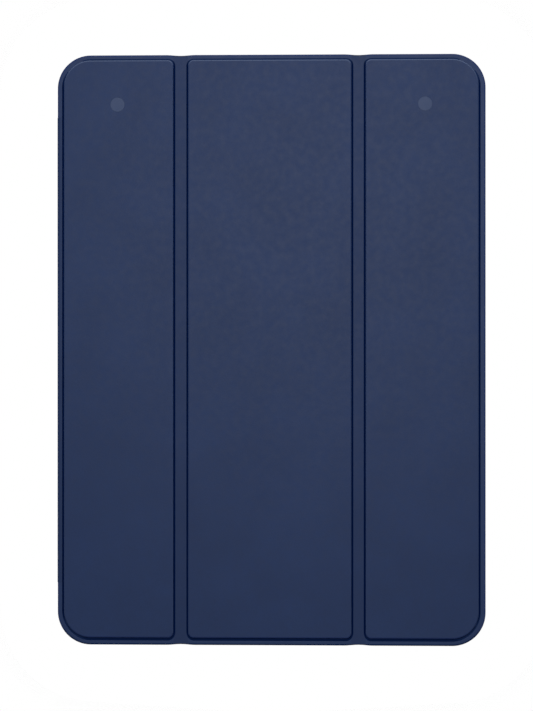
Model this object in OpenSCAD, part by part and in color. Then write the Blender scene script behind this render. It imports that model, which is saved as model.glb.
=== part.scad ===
// Folio keyboard case for a tablet of about 11 inches.
//
// The case lies closed on its back: +Z is up, through the cover, +Y runs along the folds and +X runs
// from the spine to the free edge. The origin is at the middle of the footprint, on the surface that
// the case lies on.
//
// Three sub-assemblies share that frame: a moulded tray that holds the tablet, a spine and a cover of
// three stiff panels joined by soft creases, and a slim wireless keyboard that magnets hold to the
// inside of the cover's middle panel, with its keys towards the tablet.

/* [Cover] */
// Overall width, from the spine to the free edge
case_w = 185; // [184:0.5:190]
// Overall length, along the folds
case_l = 255; // [254:0.5:262]
// Radius of the cover's corners
corner_r = 14.4; // [12:0.2:18]
// Width of the rim between a panel and the cover's edge
rim_w = 3; // [2.4:0.1:4]
// Width of the panel beside the spine
panel_1_w = 46.9; // [44:0.1:50]
// Width of the middle panel
panel_2_w = 70.5; // [66:0.1:74]
// Width of each soft crease between two panels
crease_w = 6.4; // [6.2:0.1:7.4]
// Height by which the panels stand above the rim
panel_rise = 0.8; // [0.5:0.1:1]
// Length of the spine
spine_l = 201; // [180:1:210]

/* [Tray] */
// Width of the tablet
tablet_w = 179.5; // [178:0.1:179.6]
// Length of the tablet
tablet_l = 248.6; // [247:0.1:249]
// Thickness of the tablet
tablet_t = 7; // [6:0.1:7.5]
// Radius of the tablet's corners
tablet_r = 12.5; // [10:0.5:14]
// Thickness of the hard back
back_t = 1.3; // [1.2:0.1:1.6]
// Thickness of the bumper's wall
wall_t = 1.3; // [1.2:0.1:1.4]
// Side of the camera window
camera_w = 24; // [18:1:30]

/* [Keyboard] */
// Length of the keyboard, along the folds
keyboard_l = 242; // [236:1:244]
// Depth of the keyboard, from the space bar's side to the function keys' side
keyboard_w = 116; // [112:1:120]
// Thickness of the keyboard
keyboard_t = 6.2; // [6:0.1:6.6]
// Distance from one key to the next
key_pitch = 16.4; // [16:0.1:16.6]
// Gap between two keycaps
key_gap = 2.4; // [2:0.1:2.8]
// Travel of a key
key_travel = 1.1; // [0.8:0.1:1.1]

/* [Hidden] */
$fn = 64;
cut = 1; // how far a cutting tool passes through a face

// Colours
navy = [0.13, 0.18, 0.31];
navy_shade = [0.10, 0.14, 0.26];
lining_grey = [0.20, 0.23, 0.31];
board_grey = [0.62, 0.62, 0.58];
magnet_grey = [0.70, 0.71, 0.73];
case_plastic = [0.15, 0.19, 0.29];
key_plastic = [0.19, 0.23, 0.34];
steel = [0.75, 0.76, 0.77];

// Heights of the stack, from the surface up
lining_t = 0.4;
tray_gap = 0.2;
lip_t = 0.8;
lip_w = 1.2;
keyboard_gap = 0.5;
magnet_gap = 0.1;
board_t = 1.2;
skin_t = 0.6;

floor_z = back_t + lining_t;
lip_z = floor_z + tablet_t + tray_gap;
tray_h = lip_z + lip_t;
keyboard_z0 = tray_h + keyboard_gap;
keyboard_z1 = keyboard_z0 + keyboard_t;
cover_z0 = keyboard_z1 + magnet_gap;
board_z0 = cover_z0 + lining_t;
panel_z = board_z0 + board_t + panel_rise;
rim_z = panel_z - panel_rise;
case_h = panel_z;

// Cover, across the folds
spine_proud = 0.2;
cover_x0 = -case_w / 2 + spine_proud;
cover_x1 = case_w / 2;
panel_1_x0 = cover_x0 + rim_w;
panel_1_x1 = panel_1_x0 + panel_1_w;
panel_2_x0 = panel_1_x1 + crease_w;
panel_2_x1 = panel_2_x0 + panel_2_w;
panel_3_x0 = panel_2_x1 + crease_w;
panel_3_x1 = cover_x1 - rim_w;
panel_y = case_l / 2 - rim_w;
panel_r = corner_r - rim_w;
crease_corner_r = 2.4;
panel_edge_w = 0.8;
rim_edge_w = 0.7;
board_inset = 0.9;
lining_inset = 0.5;
crease_notch = 0.3;
groove_w = 0.9;
groove_depth = 0.3;

// Magnets in the cover
disc_d = 6.2;
disc_inset_x = 26;
disc_inset_y = 21.5;
disc_y = case_l / 2 - disc_inset_y;
left_disc_x = cover_x0 + disc_inset_x;
right_disc_x = cover_x1 - disc_inset_x;
play = 0.02;
bar_magnet = [4, 22, 1];
bar_magnet_x = panel_3_x1 - board_inset - 4;
bar_magnet_y = [-84, -28, 28, 84];
catch_magnet_d = 9;
catch_magnet_t = 0.9;
catch_magnet_x = [-25, 25];
catch_magnet_y = [-100, 0, 100];

// Tray
spine_t = 1.9;
tray_x0 = -case_w / 2 + spine_t + tray_gap;
bay_x0 = tray_x0 + wall_t;
bay_x1 = bay_x0 + tablet_w + 2 * tray_gap;
tray_x1 = bay_x1 + wall_t;
bay_y = tablet_l / 2 + tray_gap;
tray_y = bay_y + wall_t;
tray_r = tablet_r + wall_t;
cushion_w = 0.5;
cushion_depth = 0.5;
cushion_margin = 1;

// Back strip, glued in a recess of the hard back, and the spine
strip_t = 0.7;
strip_x1 = tray_x0 + 24;
strip_play = 0.1;
back_crease_x1 = tray_x0 + 2.4;
spine_x0 = -case_w / 2;
spine_z0 = 3;
spine_z1 = cover_z0 - 1;
spine_board_t = 0.9;
cover_crease_x1 = panel_1_x0 - 0.2;
spine_end_gap = 0.3;
cover_bend = 1.2;

// Camera window
camera_x = tray_x1 - 19;
camera_y = tray_y - 19;
camera_r = 7;
ring_w = 1.2;
ring_t = 0.9;

// Openings and buttons in the bumper's short walls
wall_z = floor_z + tablet_t / 2;
port_w = 15;
port_h = 5;
speaker_x = 52;
top_speaker_x = 20;
speaker_l = 26;
speaker_h = 2.4;
microphone_d = 2;
button_h = 2.6;
button_play = 0.15;
button_proud = 0.6;
volume_up_x = -68;
volume_down_x = -54;
volume_l = 10;
power_x = 62;
power_l = 14;

// Keyboard: its own frame has +X along the rows, +Y towards the function keys and +Z up out of the keys
keyboard_overhang = 0.8;
keyboard_x = panel_2_x0 - keyboard_overhang + keyboard_w / 2;
keyboard_r = 6;
feet_h = 0.4;
base_floor_t = 0.7;
base_wall_t = 1.4;
base_ledge_w = 1.6;
base_h = 4.3;
inside_z = feet_h + base_floor_t;
deck_t = 0.8;
deck_rim_w = 3.2;
plate_z = 2.9;
plate_t = 0.3;
plate_play = 0.1;
membrane_t = 0.2;
membrane_inset = 0.4;
travel_gap = 0.05;
key_z0 = plate_z + plate_t + membrane_t + key_travel + travel_gap;
key_h = 1.4;
key_r = 1.2;
key_bevel = 0.35;
window_play = 0.3;
dome_d = 5.4;
front_margin = 7.6;
foot_d = 9;
foot_inset = 9;
foot_sink = 0.3;
foot_gap = 0.02;
magnet_sink = foot_sink + 0.2;
switch_l = 5;
switch_travel = 2.2;
switch_y = 34;
switch_z = 2.1;
switch_h = 1.3;
switch_proud = 0.6;
switch_play = 0.2;
switch_collar = [1.4, switch_l - 2 * switch_play, 0.9];
switch_collar_reach = 0.8;
switch_bar = base_wall_t + 0.8 + switch_proud;
usb_w = 9;
usb_h = 3.2;
usb_l = 7.4;
usb_y = 46.5;
usb_shell = 0.3;
usb_back_t = 1;
usb_play = 0.05;
battery_size = [90, 55, 1.6];
battery_place = [-90, -30];
control_board_size = [54, 11, 0.8];
control_board_inset = 6;
control_board_gap = 0.6;
light_d = 1.4;
light_pitch = 5;
row_x0 = -7 * key_pitch;
row_y0 = front_margin - keyboard_w / 2;
service_y0 = keyboard_w / 2 - 16;
light_x = 16 - keyboard_l / 2;
light_y = keyboard_w / 2 - 9;

// Rows of keys from the front: [height in pitches, widths in pitches]
bottom_row = [1, [1, 1, 1, 1.25, 5, 1.25, 1]];
shift_row = [1, concat([2], [for (i = [1:10]) 1], [2])];
home_row = [1, concat([1.5], [for (i = [1:11]) 1], [1.5])];
upper_row = [1, concat([1.2], [for (i = [1:12]) 1], [0.8])];
number_row = [1, concat([0.6], [for (i = [1:12]) 1], [1.4])];
function_row = [0.6, [for (i = [1:14]) 1]];
ROWS = [bottom_row, shift_row, home_row, upper_row, number_row, function_row];
arrow_w = 2.5 / 3;
arrow_x = 11.5;

function total(list, count) = count == 0 ? 0 : list[count - 1] + total(list, count - 1);
function row_y(row) = row == 0 ? 0 : row_y(row - 1) + ROWS[row - 1][0];

// Keycap outlines in the keyboard's frame, as [x, y, width, length]
function key_rect(row, i) = [
    row_x0 + total(ROWS[row][1], i) * key_pitch + key_gap / 2,
    row_y0 + row_y(row) * key_pitch + key_gap / 2,
    ROWS[row][1][i] * key_pitch - key_gap,
    ROWS[row][0] * key_pitch - key_gap
];
function arrow_rect(column, level) = [
    row_x0 + (arrow_x + column * arrow_w) * key_pitch + key_gap / 2,
    row_y0 + level * key_pitch / 2 + (level == 0 ? key_gap / 2 : key_gap / 4),
    arrow_w * key_pitch - key_gap,
    key_pitch / 2 - 0.75 * key_gap
];
ALL_RECTS = concat(
    [for (row = [0:len(ROWS) - 1], i = [0:len(ROWS[row][1]) - 1]) key_rect(row, i)],
    [for (column = [0:2]) arrow_rect(column, 0)],
    [arrow_rect(1, 1)]
);

// ---------------------------------------------------------------- shared shapes

// Rectangle with true arcs at its corners, of one radius on the left and another on the right
module slab_outline(x0, x1, y, r_left, r_right) {
    translate([x0 + r_left, -y]) square([x1 - x0 - r_left - r_right, 2 * y]);
    translate([x0, -y + r_left]) square([r_left, 2 * (y - r_left)]);
    translate([x1 - r_right, -y + r_right]) square([r_right, 2 * (y - r_right)]);
    for (side = [-1, 1]) {
        translate([x0 + r_left, side * (y - r_left)]) circle(r_left);
        translate([x1 - r_right, side * (y - r_right)]) circle(r_right);
    }
}

// Sweeps a section round a rounded rectangle: the section's x is measured outwards from the outline
module swept_round(x0, x1, y, r_left, r_right) {
    corners = [
        [x1 - r_right, y - r_right, 0, r_right], [x0 + r_left, y - r_left, 90, r_left],
        [x0 + r_left, r_left - y, 180, r_left], [x1 - r_right, r_right - y, 270, r_right]
    ];
    middle_x = (x0 + r_left + x1 - r_right) / 2;
    width = x1 - x0 - r_left - r_right;
    runs = [
        [x1, 0, 0, 2 * (y - r_right)], [x0, 0, 180, 2 * (y - r_left)],
        [middle_x, y, 90, width], [middle_x, -y, 270, width]
    ];
    for (c = corners)
        translate([c[0], c[1], 0])
            rotate([0, 0, c[2]]) rotate_extrude(angle = 90) translate([c[3], 0]) children();
    for (run = runs)
        translate([run[0], run[1], 0])
            rotate([0, 0, run[2]]) rotate([90, 0, 0]) linear_extrude(run[3], center = true) children();
}

// Top corner of a soft edge, as three facets that approach an arc, from below the edge inwards
function soft_corner(w, h, top) = [
    [0, top - h], [-0.12 * w, top - 0.55 * h], [-0.42 * w, top - 0.18 * h], [-w, top]
];

// Slab with a soft top edge, from z0 to z1
module soft_slab(x0, x1, y, r_left, r_right, z0, z1, edge_w) {
    band = 2 * edge_w;
    translate([0, 0, z0])
        linear_extrude(z1 - z0)
            slab_outline(x0 + band, x1 - band, y - band, r_left - band, r_right - band);
    swept_round(x0, x1, y, r_left, r_right)
        polygon(concat([[-band, z0], [0, z0]], soft_corner(edge_w, edge_w, z1), [[-band, z1]]));
}

// Cuts the part of a shape that lies between two places across the folds
module between(x0, x1) {
    intersection() {
        children();
        translate([x0, -case_l, -cut]) cube([x1 - x0, 2 * case_l, case_h + 2 * cut]);
    }
}

// ---------------------------------------------------------------- tray

module bay_outline(grow = 0) {
    slab_outline(bay_x0 - grow, bay_x1 + grow, bay_y + grow, tablet_r + grow, tablet_r + grow);
}

module camera_outline(grow = 0) {
    half = camera_w / 2 + grow;
    translate([camera_x, camera_y]) slab_outline(-half, half, half, camera_r + grow, camera_r + grow);
}

module strip_recess() {
    translate([tray_x0 - cut, -spine_l / 2 - strip_play, -cut])
        cube([strip_x1 - tray_x0 + cut + strip_play, spine_l + 2 * strip_play, strip_t + cut]);
}

module back_shell() {
    color(case_plastic)
    difference() {
        linear_extrude(back_t) bay_outline();
        translate([0, 0, -cut]) linear_extrude(back_t + 2 * cut) camera_outline();
        translate([0, 0, -cut]) linear_extrude(ring_t + cut) camera_outline(ring_w);
        strip_recess();
    }
}

// Section of the bumper: a rounded foot, the wall and the lip that holds the tablet's edge
module bumper_section() {
    foot = 1.1;
    brow = 0.4;
    polygon([
        [-wall_t, 0], [-foot, 0], [-foot / 3, foot / 3], [0, foot],
        [0, tray_h - brow], [-brow, tray_h], [-wall_t - lip_w + brow, tray_h],
        [-wall_t - lip_w, tray_h - brow], [-wall_t - lip_w, lip_z], [-wall_t, lip_z]
    ]);
}

// Row of shallow pockets inside each corner, which squash when the case is dropped
module corner_cushions() {
    angles = [15:15:75]; // from one wall round to the next
    for (corner = [[bay_x1 - tablet_r, 1, 0], [bay_x0 + tablet_r, 1, 90],
                   [bay_x0 + tablet_r, -1, 180], [bay_x1 - tablet_r, -1, 270]])
        translate([corner[0], corner[1] * (bay_y - tablet_r), floor_z + cushion_margin])
            rotate([0, 0, corner[2]])
                for (a = angles)
                    rotate([0, 0, a])
                        translate([tablet_r - cut, -cushion_w, 0])
                            cube([cut + cushion_depth, 2 * cushion_w, tablet_t - 2 * cushion_margin]);
}

// Slot with round ends through a short wall, centred at x
module wall_slot(x, side, length, height) {
    flat = length - height;
    translate([x, side * bay_y, wall_z])
        rotate([90, 0, 0])
            linear_extrude(4 * wall_t, center = true) {
                square([flat, height], center = true);
                for (end = [-1, 1]) translate([end * flat / 2, 0]) circle(d = height);
            }
}

module bumper_frame() {
    color(navy_shade)
    difference() {
        swept_round(tray_x0, tray_x1, tray_y, tray_r, tray_r) bumper_section();
        strip_recess();
        corner_cushions();
        wall_slot(0, -1, port_w, port_h);
        for (side = [-1, 1]) wall_slot(side * speaker_x, -1, speaker_l, speaker_h);
        for (side = [-1, 1]) wall_slot(side * top_speaker_x, 1, speaker_l, speaker_h);
        wall_slot(0, 1, microphone_d + 0.01, microphone_d);
        for (x = [volume_up_x, volume_down_x])
            wall_slot(x, 1, volume_l + 2 * button_play, button_h + 2 * button_play);
        wall_slot(power_x, 1, power_l + 2 * button_play, button_h + 2 * button_play);
    }
}

module tray_lining() {
    color(lining_grey)
    translate([0, 0, back_t])
        linear_extrude(lining_t)
            difference() {
                bay_outline();
                camera_outline();
            }
}

module camera_ring() {
    color(steel)
    linear_extrude(ring_t)
        difference() {
            camera_outline(ring_w - play);
            camera_outline();
        }
}

module back_skin() {
    color(navy)
    translate([back_crease_x1, -spine_l / 2, 0]) cube([strip_x1 - back_crease_x1, spine_l, strip_t]);
}

// Button cap that shows through its slot, with no flange: the tablet's own button stands behind it
module wall_button(x, length) {
    flat = length - button_h;
    translate([x, tray_y + button_proud, wall_z])
        rotate([90, 0, 0])
            linear_extrude(button_proud + wall_t) {
                square([flat, button_h], center = true);
                for (end = [-1, 1]) translate([end * flat / 2, 0]) circle(d = button_h);
            }
}

module volume_up_button() {
    color(navy) wall_button(volume_up_x, volume_l);
}

module volume_down_button() {
    color(navy) wall_button(volume_down_x, volume_l);
}

module power_button_cover() {
    color(navy) wall_button(power_x, power_l);
}

// ---------------------------------------------------------------- spine

// Strip of skin round the lower corner, between the glued back strip and the spine
module back_crease() {
    bend = 1;
    color(navy_shade)
    rotate([90, 0, 0])
        linear_extrude(spine_l, center = true)
            polygon([
                [back_crease_x1, 0], [back_crease_x1, strip_t], [spine_x0 + skin_t + 0.3, strip_t],
                [spine_x0 + skin_t, strip_t + 0.3], [spine_x0 + skin_t, spine_z0], [spine_x0, spine_z0],
                [spine_x0, bend], [spine_x0 + bend * 0.3, bend * 0.3], [spine_x0 + bend, 0]
            ]);
}

module spine_sheet(x0, thickness, inset) {
    translate([x0, -spine_l / 2 + inset, spine_z0 + inset])
        cube([thickness, spine_l - 2 * inset, spine_z1 - spine_z0 - 2 * inset]);
}

module spine_skin() {
    color(navy) spine_sheet(spine_x0, skin_t, 0);
}

module spine_board() {
    color(board_grey) spine_sheet(spine_x0 + skin_t, spine_board_t, 0.4);
}

module spine_lining() {
    color(lining_grey) spine_sheet(spine_x0 + skin_t + spine_board_t, lining_t, 0);
}

// Strip of skin round the upper corner, between the spine and the first panel
module cover_crease() {
    bend = cover_bend;
    color(navy_shade)
    rotate([90, 0, 0])
        linear_extrude(spine_l, center = true)
            polygon([
                [spine_x0, spine_z1], [spine_x0, rim_z - bend], [spine_x0 + bend * 0.3, rim_z - bend * 0.3],
                [spine_x0 + bend, rim_z], [cover_crease_x1, rim_z - groove_depth],
                [cover_crease_x1, board_z0], [spine_x0 + bend, board_z0],
                [spine_x0 + skin_t, board_z0 - 0.5], [spine_x0 + skin_t, spine_z1]
            ]);
}

// ---------------------------------------------------------------- cover

// Section of the rim: a rolled edge, a flat and the pressed line at the foot of the panels
module rim_section() {
    under = 3;
    line_z = rim_z - groove_depth;
    line_x = groove_w - rim_w;
    slope = 0.25;
    polygon(concat(
        [[-rim_w - under, board_z0], [0, board_z0]],
        soft_corner(rim_edge_w, rim_edge_w, rim_z),
        [[line_x + slope, rim_z], [line_x, line_z], [-rim_w - under, line_z]]
    ));
}

// Skin of one panel: its share of the rim, the raised face and a pocket below for the board
module panel_skin(x0, x1, from_x, to_x, r_left, r_right) {
    difference() {
        union() {
            between(from_x, to_x)
                swept_round(cover_x0, cover_x1, case_l / 2, corner_r, corner_r) rim_section();
            soft_slab(x0, x1, panel_y, r_left, r_right, board_z0, panel_z, panel_edge_w);
        }
        translate([0, 0, board_z0 - cut])
            linear_extrude(board_t + cut) board_outline(x0, x1, r_left, r_right);
    }
}

module board_outline(x0, x1, r_left, r_right) {
    slab_outline(x0 + board_inset, x1 - board_inset, panel_y - board_inset, r_left - board_inset,
                 r_right - board_inset);
}

module panel_board(x0, x1, r_left, r_right) {
    translate([0, 0, board_z0]) linear_extrude(board_t) board_outline(x0, x1, r_left, r_right);
}

module panel_lining(from_x, to_x) {
    between(from_x, to_x)
        translate([0, 0, cover_z0])
            linear_extrude(lining_t)
                slab_outline(cover_x0 + lining_inset, cover_x1 - lining_inset, case_l / 2 - lining_inset,
                             corner_r - lining_inset, corner_r - lining_inset);
}

module disc_bore(x) {
    translate([x, disc_y, board_z0 + board_t - cut]) cylinder(d = disc_d + 2 * play, h = 2 * cut);
}

module magnet_disc(x) {
    translate([x, disc_y, board_z0 + board_t]) cylinder(d = disc_d, h = panel_z - board_z0 - board_t);
}

// Soft strip between two panels: a flat welt between two pressed lines
module crease(x0, x1) {
    shoulder = 0.2;
    color(navy_shade)
    rotate([90, 0, 0])
        linear_extrude(case_l - 2 * crease_notch, center = true)
            polygon([
                [x0, cover_z0], [x1, cover_z0], [x1, rim_z - groove_depth - shoulder],
                [x1 - groove_w, rim_z - groove_depth - shoulder],
                [x1 - groove_w - shoulder, rim_z - shoulder], [x0 + groove_w + shoulder, rim_z - shoulder],
                [x0 + groove_w, rim_z - groove_depth - shoulder], [x0, rim_z - groove_depth - shoulder]
            ]);
}

module panel_1_skin() {
    color(navy)
    difference() {
        panel_skin(panel_1_x0, panel_1_x1, cover_x0, panel_1_x1, panel_r, crease_corner_r);
        disc_bore(left_disc_x);
        translate([cover_x0 - cut, -spine_l / 2 - spine_end_gap, 0])
            cube([cover_crease_x1 - cover_x0 + cut, spine_l + 2 * spine_end_gap, case_h + cut]);
    }
}

module panel_1_board() {
    color(board_grey) panel_board(panel_1_x0, panel_1_x1, panel_r, crease_corner_r);
}

module panel_1_lining() {
    color(lining_grey) panel_lining(spine_x0 + cover_bend + play, panel_1_x1);
}

module left_magnet_disc() {
    color(magnet_grey) magnet_disc(left_disc_x);
}

module first_crease() {
    crease(panel_1_x1, panel_2_x0);
}

module panel_2_skin() {
    color(navy)
    panel_skin(panel_2_x0, panel_2_x1, panel_2_x0, panel_2_x1, crease_corner_r, crease_corner_r);
}

module catch_magnets(z0) {
    for (x = catch_magnet_x, y = catch_magnet_y)
        translate([x, y, z0]) cylinder(d = catch_magnet_d, h = catch_magnet_t);
}

module panel_2_board() {
    color(board_grey)
    difference() {
        panel_board(panel_2_x0, panel_2_x1, crease_corner_r, crease_corner_r);
        catch_magnets(board_z0);
    }
}

module panel_2_lining() {
    color(lining_grey) panel_lining(panel_2_x0, panel_2_x1);
}

module keyboard_catch_magnets() {
    color(magnet_grey) catch_magnets(board_z0);
}

module second_crease() {
    crease(panel_2_x1, panel_3_x0);
}

module panel_3_skin() {
    color(navy)
    difference() {
        panel_skin(panel_3_x0, panel_3_x1, panel_3_x0, cover_x1, crease_corner_r, panel_r);
        disc_bore(right_disc_x);
    }
}

module bar_magnets() {
    for (y = bar_magnet_y)
        translate([bar_magnet_x, y - bar_magnet[1] / 2, board_z0]) cube(bar_magnet);
}

module panel_3_board() {
    color(board_grey)
    difference() {
        panel_board(panel_3_x0, panel_3_x1, crease_corner_r, panel_r);
        bar_magnets();
    }
}

module panel_3_lining() {
    color(lining_grey) panel_lining(panel_3_x0, cover_x1);
}

module right_magnet_disc() {
    color(magnet_grey) magnet_disc(right_disc_x);
}

module closure_magnets() {
    color(magnet_grey) bar_magnets();
}

// ---------------------------------------------------------------- keyboard

// Places a shape of the keyboard's own frame in the case: keys down, function keys at the spine's side
module on_keyboard() {
    translate([keyboard_x, 0, keyboard_z1]) rotate([0, 0, -90]) rotate([180, 0, 0]) children();
}

module keyboard_outline(grow = 0) {
    slab_outline(-keyboard_l / 2 - grow, keyboard_l / 2 + grow, keyboard_w / 2 + grow,
                 keyboard_r + grow, keyboard_r + grow);
}

module feet(z0, h, grow = 0) {
    for (x = [-1, 1], y = [-1, 1])
        translate([x * (keyboard_l / 2 - foot_inset), y * (keyboard_w / 2 - foot_inset), z0])
            cylinder(d = foot_d + 2 * grow, h = h);
}

// Open tub: a floor, a wall all round and a ledge that carries the key support plate
module keyboard_base() {
    slot_l = switch_l + switch_travel + 2 * switch_play;
    color(case_plastic)
    on_keyboard()
        difference() {
            translate([0, 0, feet_h]) linear_extrude(base_h - feet_h) keyboard_outline();
            translate([0, 0, plate_z]) linear_extrude(base_h) keyboard_outline(-base_wall_t);
            translate([0, 0, inside_z])
                linear_extrude(base_h) keyboard_outline(-base_wall_t - base_ledge_w);
            feet(feet_h - cut, cut + foot_sink, play);
            for (m = magnet_places()) translate([m[0], m[1], feet_h - cut])
                cylinder(d = catch_magnet_d + 2 * play, h = cut + magnet_sink);
            translate([keyboard_l / 2 - 3 * base_wall_t, usb_y - usb_w / 2, inside_z])
                cube([4 * base_wall_t, usb_w, base_h]);
            translate([keyboard_l / 2 - 3 * base_wall_t, switch_y - slot_l / 2, switch_z - switch_play / 2])
                cube([4 * base_wall_t, slot_l, switch_h + 1.5 * switch_play]);
        }
}

// Places of the keyboard's own magnets, opposite the ones in the cover
function magnet_places() = [for (x = catch_magnet_x, y = catch_magnet_y) [-y, keyboard_x - x]];

// Notch that clears the power switch
module switch_notch() {
    depth = base_wall_t + 2.6;
    translate([keyboard_l / 2 - depth, switch_y - switch_l]) square([2 * depth, 2 * switch_l]);
}

// Frame over the keys: a raised border keeps the keycaps off the tablet's screen
module keyboard_deck() {
    field_z = base_h + deck_t;
    color(case_plastic)
    on_keyboard()
        difference() {
            translate([0, 0, base_h]) linear_extrude(keyboard_t - base_h) keyboard_outline();
            translate([0, 0, field_z])
                linear_extrude(keyboard_t) keyboard_outline(-deck_rim_w);
            translate([0, 0, base_h - cut])
                linear_extrude(keyboard_t) offset(r = key_r, $fn = 8) key_windows(key_r - window_play);
            lights(base_h - cut, keyboard_t, light_d);
        }
}

// Sharp openings over every key, inset by the radius that the offset gives back
module key_windows(inset) {
    for (r = ALL_RECTS)
        translate([r[0] + inset, r[1] + inset]) square([r[2] - 2 * inset, r[3] - 2 * inset]);
}

module lights(z0, h, d) {
    for (i = [0:2]) translate([light_x + i * light_pitch, light_y, z0]) cylinder(d = d, h = h);
}

module status_lights() {
    color("white") on_keyboard() lights(base_h, deck_t, light_d - 2 * play);
}

module key_support_plate() {
    color(steel)
    on_keyboard()
        translate([0, 0, plate_z])
            linear_extrude(plate_t)
                difference() {
                    keyboard_outline(-base_wall_t - plate_play);
                    translate([-keyboard_l, service_y0]) square([2 * keyboard_l, keyboard_w]);
                    switch_notch();
                }
}

module membrane() {
    color([0.9, 0.92, 0.9, 0.8])
    on_keyboard()
        translate([0, 0, plate_z + plate_t])
            linear_extrude(membrane_t)
                difference() {
                    keyboard_outline(-base_wall_t - membrane_inset);
                    translate([-keyboard_l, service_y0 - membrane_inset])
                        square([2 * keyboard_l, keyboard_w]);
                    switch_notch();
                }
}

// One rubber dome at the middle of each key
module key_domes() {
    dome_z = plate_z + plate_t + membrane_t;
    color([0.85, 0.87, 0.9])
    on_keyboard()
        for (r = ALL_RECTS) {
            d = min(dome_d, 0.7 * r[3]);
            translate([r[0] + r[2] / 2, r[1] + r[3] / 2, dome_z])
                cylinder(d1 = d, d2 = d * 0.6, h = key_z0 - dome_z);
        }
}

module battery() {
    color("silver")
    on_keyboard() translate([battery_place[0], battery_place[1], inside_z]) cube(battery_size);
}

module control_board() {
    color("darkgreen")
    on_keyboard()
        translate([keyboard_l / 2 - base_wall_t - control_board_inset - control_board_size[0],
                   service_y0 + control_board_gap, inside_z])
            cube(control_board_size);
}

module usb_socket() {
    corner = usb_h / 2 - 0.01;
    half = usb_w / 2 - usb_play;
    color(steel)
    on_keyboard()
        translate([keyboard_l / 2 - usb_l, usb_y, inside_z + usb_h / 2])
            rotate([90, 0, 90])
                difference() {
                    linear_extrude(usb_l) slab_outline(-half, half, usb_h / 2, corner, corner);
                    translate([0, 0, usb_back_t])
                        linear_extrude(usb_l)
                            slab_outline(usb_shell - half, half - usb_shell, usb_h / 2 - usb_shell,
                                         corner - usb_shell, corner - usb_shell);
                }
}

module power_switch() {
    color("dimgray")
    on_keyboard()
        translate([keyboard_l / 2 + switch_proud - switch_bar, switch_y - switch_travel / 2, switch_z]) {
            translate([-switch_collar_reach, -switch_collar[1] / 2, 0]) cube(switch_collar);
            translate([0, -switch_l / 2, 0]) cube([switch_bar, switch_l, switch_h]);
        }
}

module keyboard_feet() {
    color("dimgray") on_keyboard() feet(foot_gap, feet_h + foot_sink - foot_gap);
}

module keyboard_magnets() {
    color(magnet_grey)
    on_keyboard()
        for (m = magnet_places())
            translate([m[0], m[1], feet_h]) cylinder(d = catch_magnet_d, h = magnet_sink);
}

// ---------------------------------------------------------------- keycaps

// Keycap with a bevelled top edge
module keycap(rect) {
    core = [rect[2] - 2 * key_r, rect[3] - 2 * key_r];
    translate([rect[0] + key_r, rect[1] + key_r, key_z0])
        hull() {
            linear_extrude(key_h - key_bevel) offset(r = key_r, $fn = 8) square(core);
            linear_extrude(key_h) offset(r = key_r - key_bevel, $fn = 8) square(core);
        }
}

module row_caps(row, first, last) {
    color(key_plastic) on_keyboard() for (i = [first:last]) keycap(key_rect(row, i));
}

module arrow_cap(column, level) {
    color(key_plastic) on_keyboard() keycap(arrow_rect(column, level));
}

module function_keys() row_caps(5, 0, 13);
module number_keys() row_caps(4, 0, 12);
module backspace_key() row_caps(4, 13, 13);
module tab_key() row_caps(3, 0, 0);
module upper_letter_keys() row_caps(3, 1, 13);
module caps_lock_key() row_caps(2, 0, 0);
module home_letter_keys() row_caps(2, 1, 11);
module enter_key() row_caps(2, 12, 12);
module left_shift_key() row_caps(1, 0, 0);
module lower_letter_keys() row_caps(1, 1, 10);
module right_shift_key() row_caps(1, 11, 11);
module modifier_keys() {
    row_caps(0, 0, 3);
    row_caps(0, 5, 6);
}
module space_bar() row_caps(0, 4, 4);
module left_arrow_key() arrow_cap(0, 0);
module right_arrow_key() arrow_cap(2, 0);
module up_arrow_key() arrow_cap(1, 1);
module down_arrow_key() arrow_cap(1, 0);

back_shell();
bumper_frame();
tray_lining();
camera_ring();
back_skin();
volume_up_button();
volume_down_button();
power_button_cover();
back_crease();
spine_skin();
spine_board();
spine_lining();
cover_crease();
panel_1_skin();
panel_1_board();
panel_1_lining();
left_magnet_disc();
first_crease();
panel_2_skin();
panel_2_board();
panel_2_lining();
keyboard_catch_magnets();
second_crease();
panel_3_skin();
panel_3_board();
panel_3_lining();
right_magnet_disc();
closure_magnets();
keyboard_base();
keyboard_deck();
key_support_plate();
membrane();
key_domes();
battery();
control_board();
usb_socket();
power_switch();
status_lights();
keyboard_feet();
keyboard_magnets();
function_keys();
number_keys();
backspace_key();
tab_key();
upper_letter_keys();
caps_lock_key();
home_letter_keys();
enter_key();
left_shift_key();
lower_letter_keys();
right_shift_key();
modifier_keys();
space_bar();
left_arrow_key();
right_arrow_key();
up_arrow_key();
down_arrow_key();
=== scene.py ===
"""Looks of a folio keyboard case for a tablet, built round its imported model.

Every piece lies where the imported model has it: +Z goes up through the cover, +Y runs along the folds and
+X runs from the spine to the free edge. Shapes are worked in millimetres and kept in metres.
"""

import logging
import math
from dataclasses import dataclass, field, replace
from enum import Enum
from functools import reduce
from typing import Callable, Iterable, Sequence

import bmesh
import bpy
from bmesh.types import BMEdge, BMesh, BMFace, BMVert
from mathutils import Matrix, Vector


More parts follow.
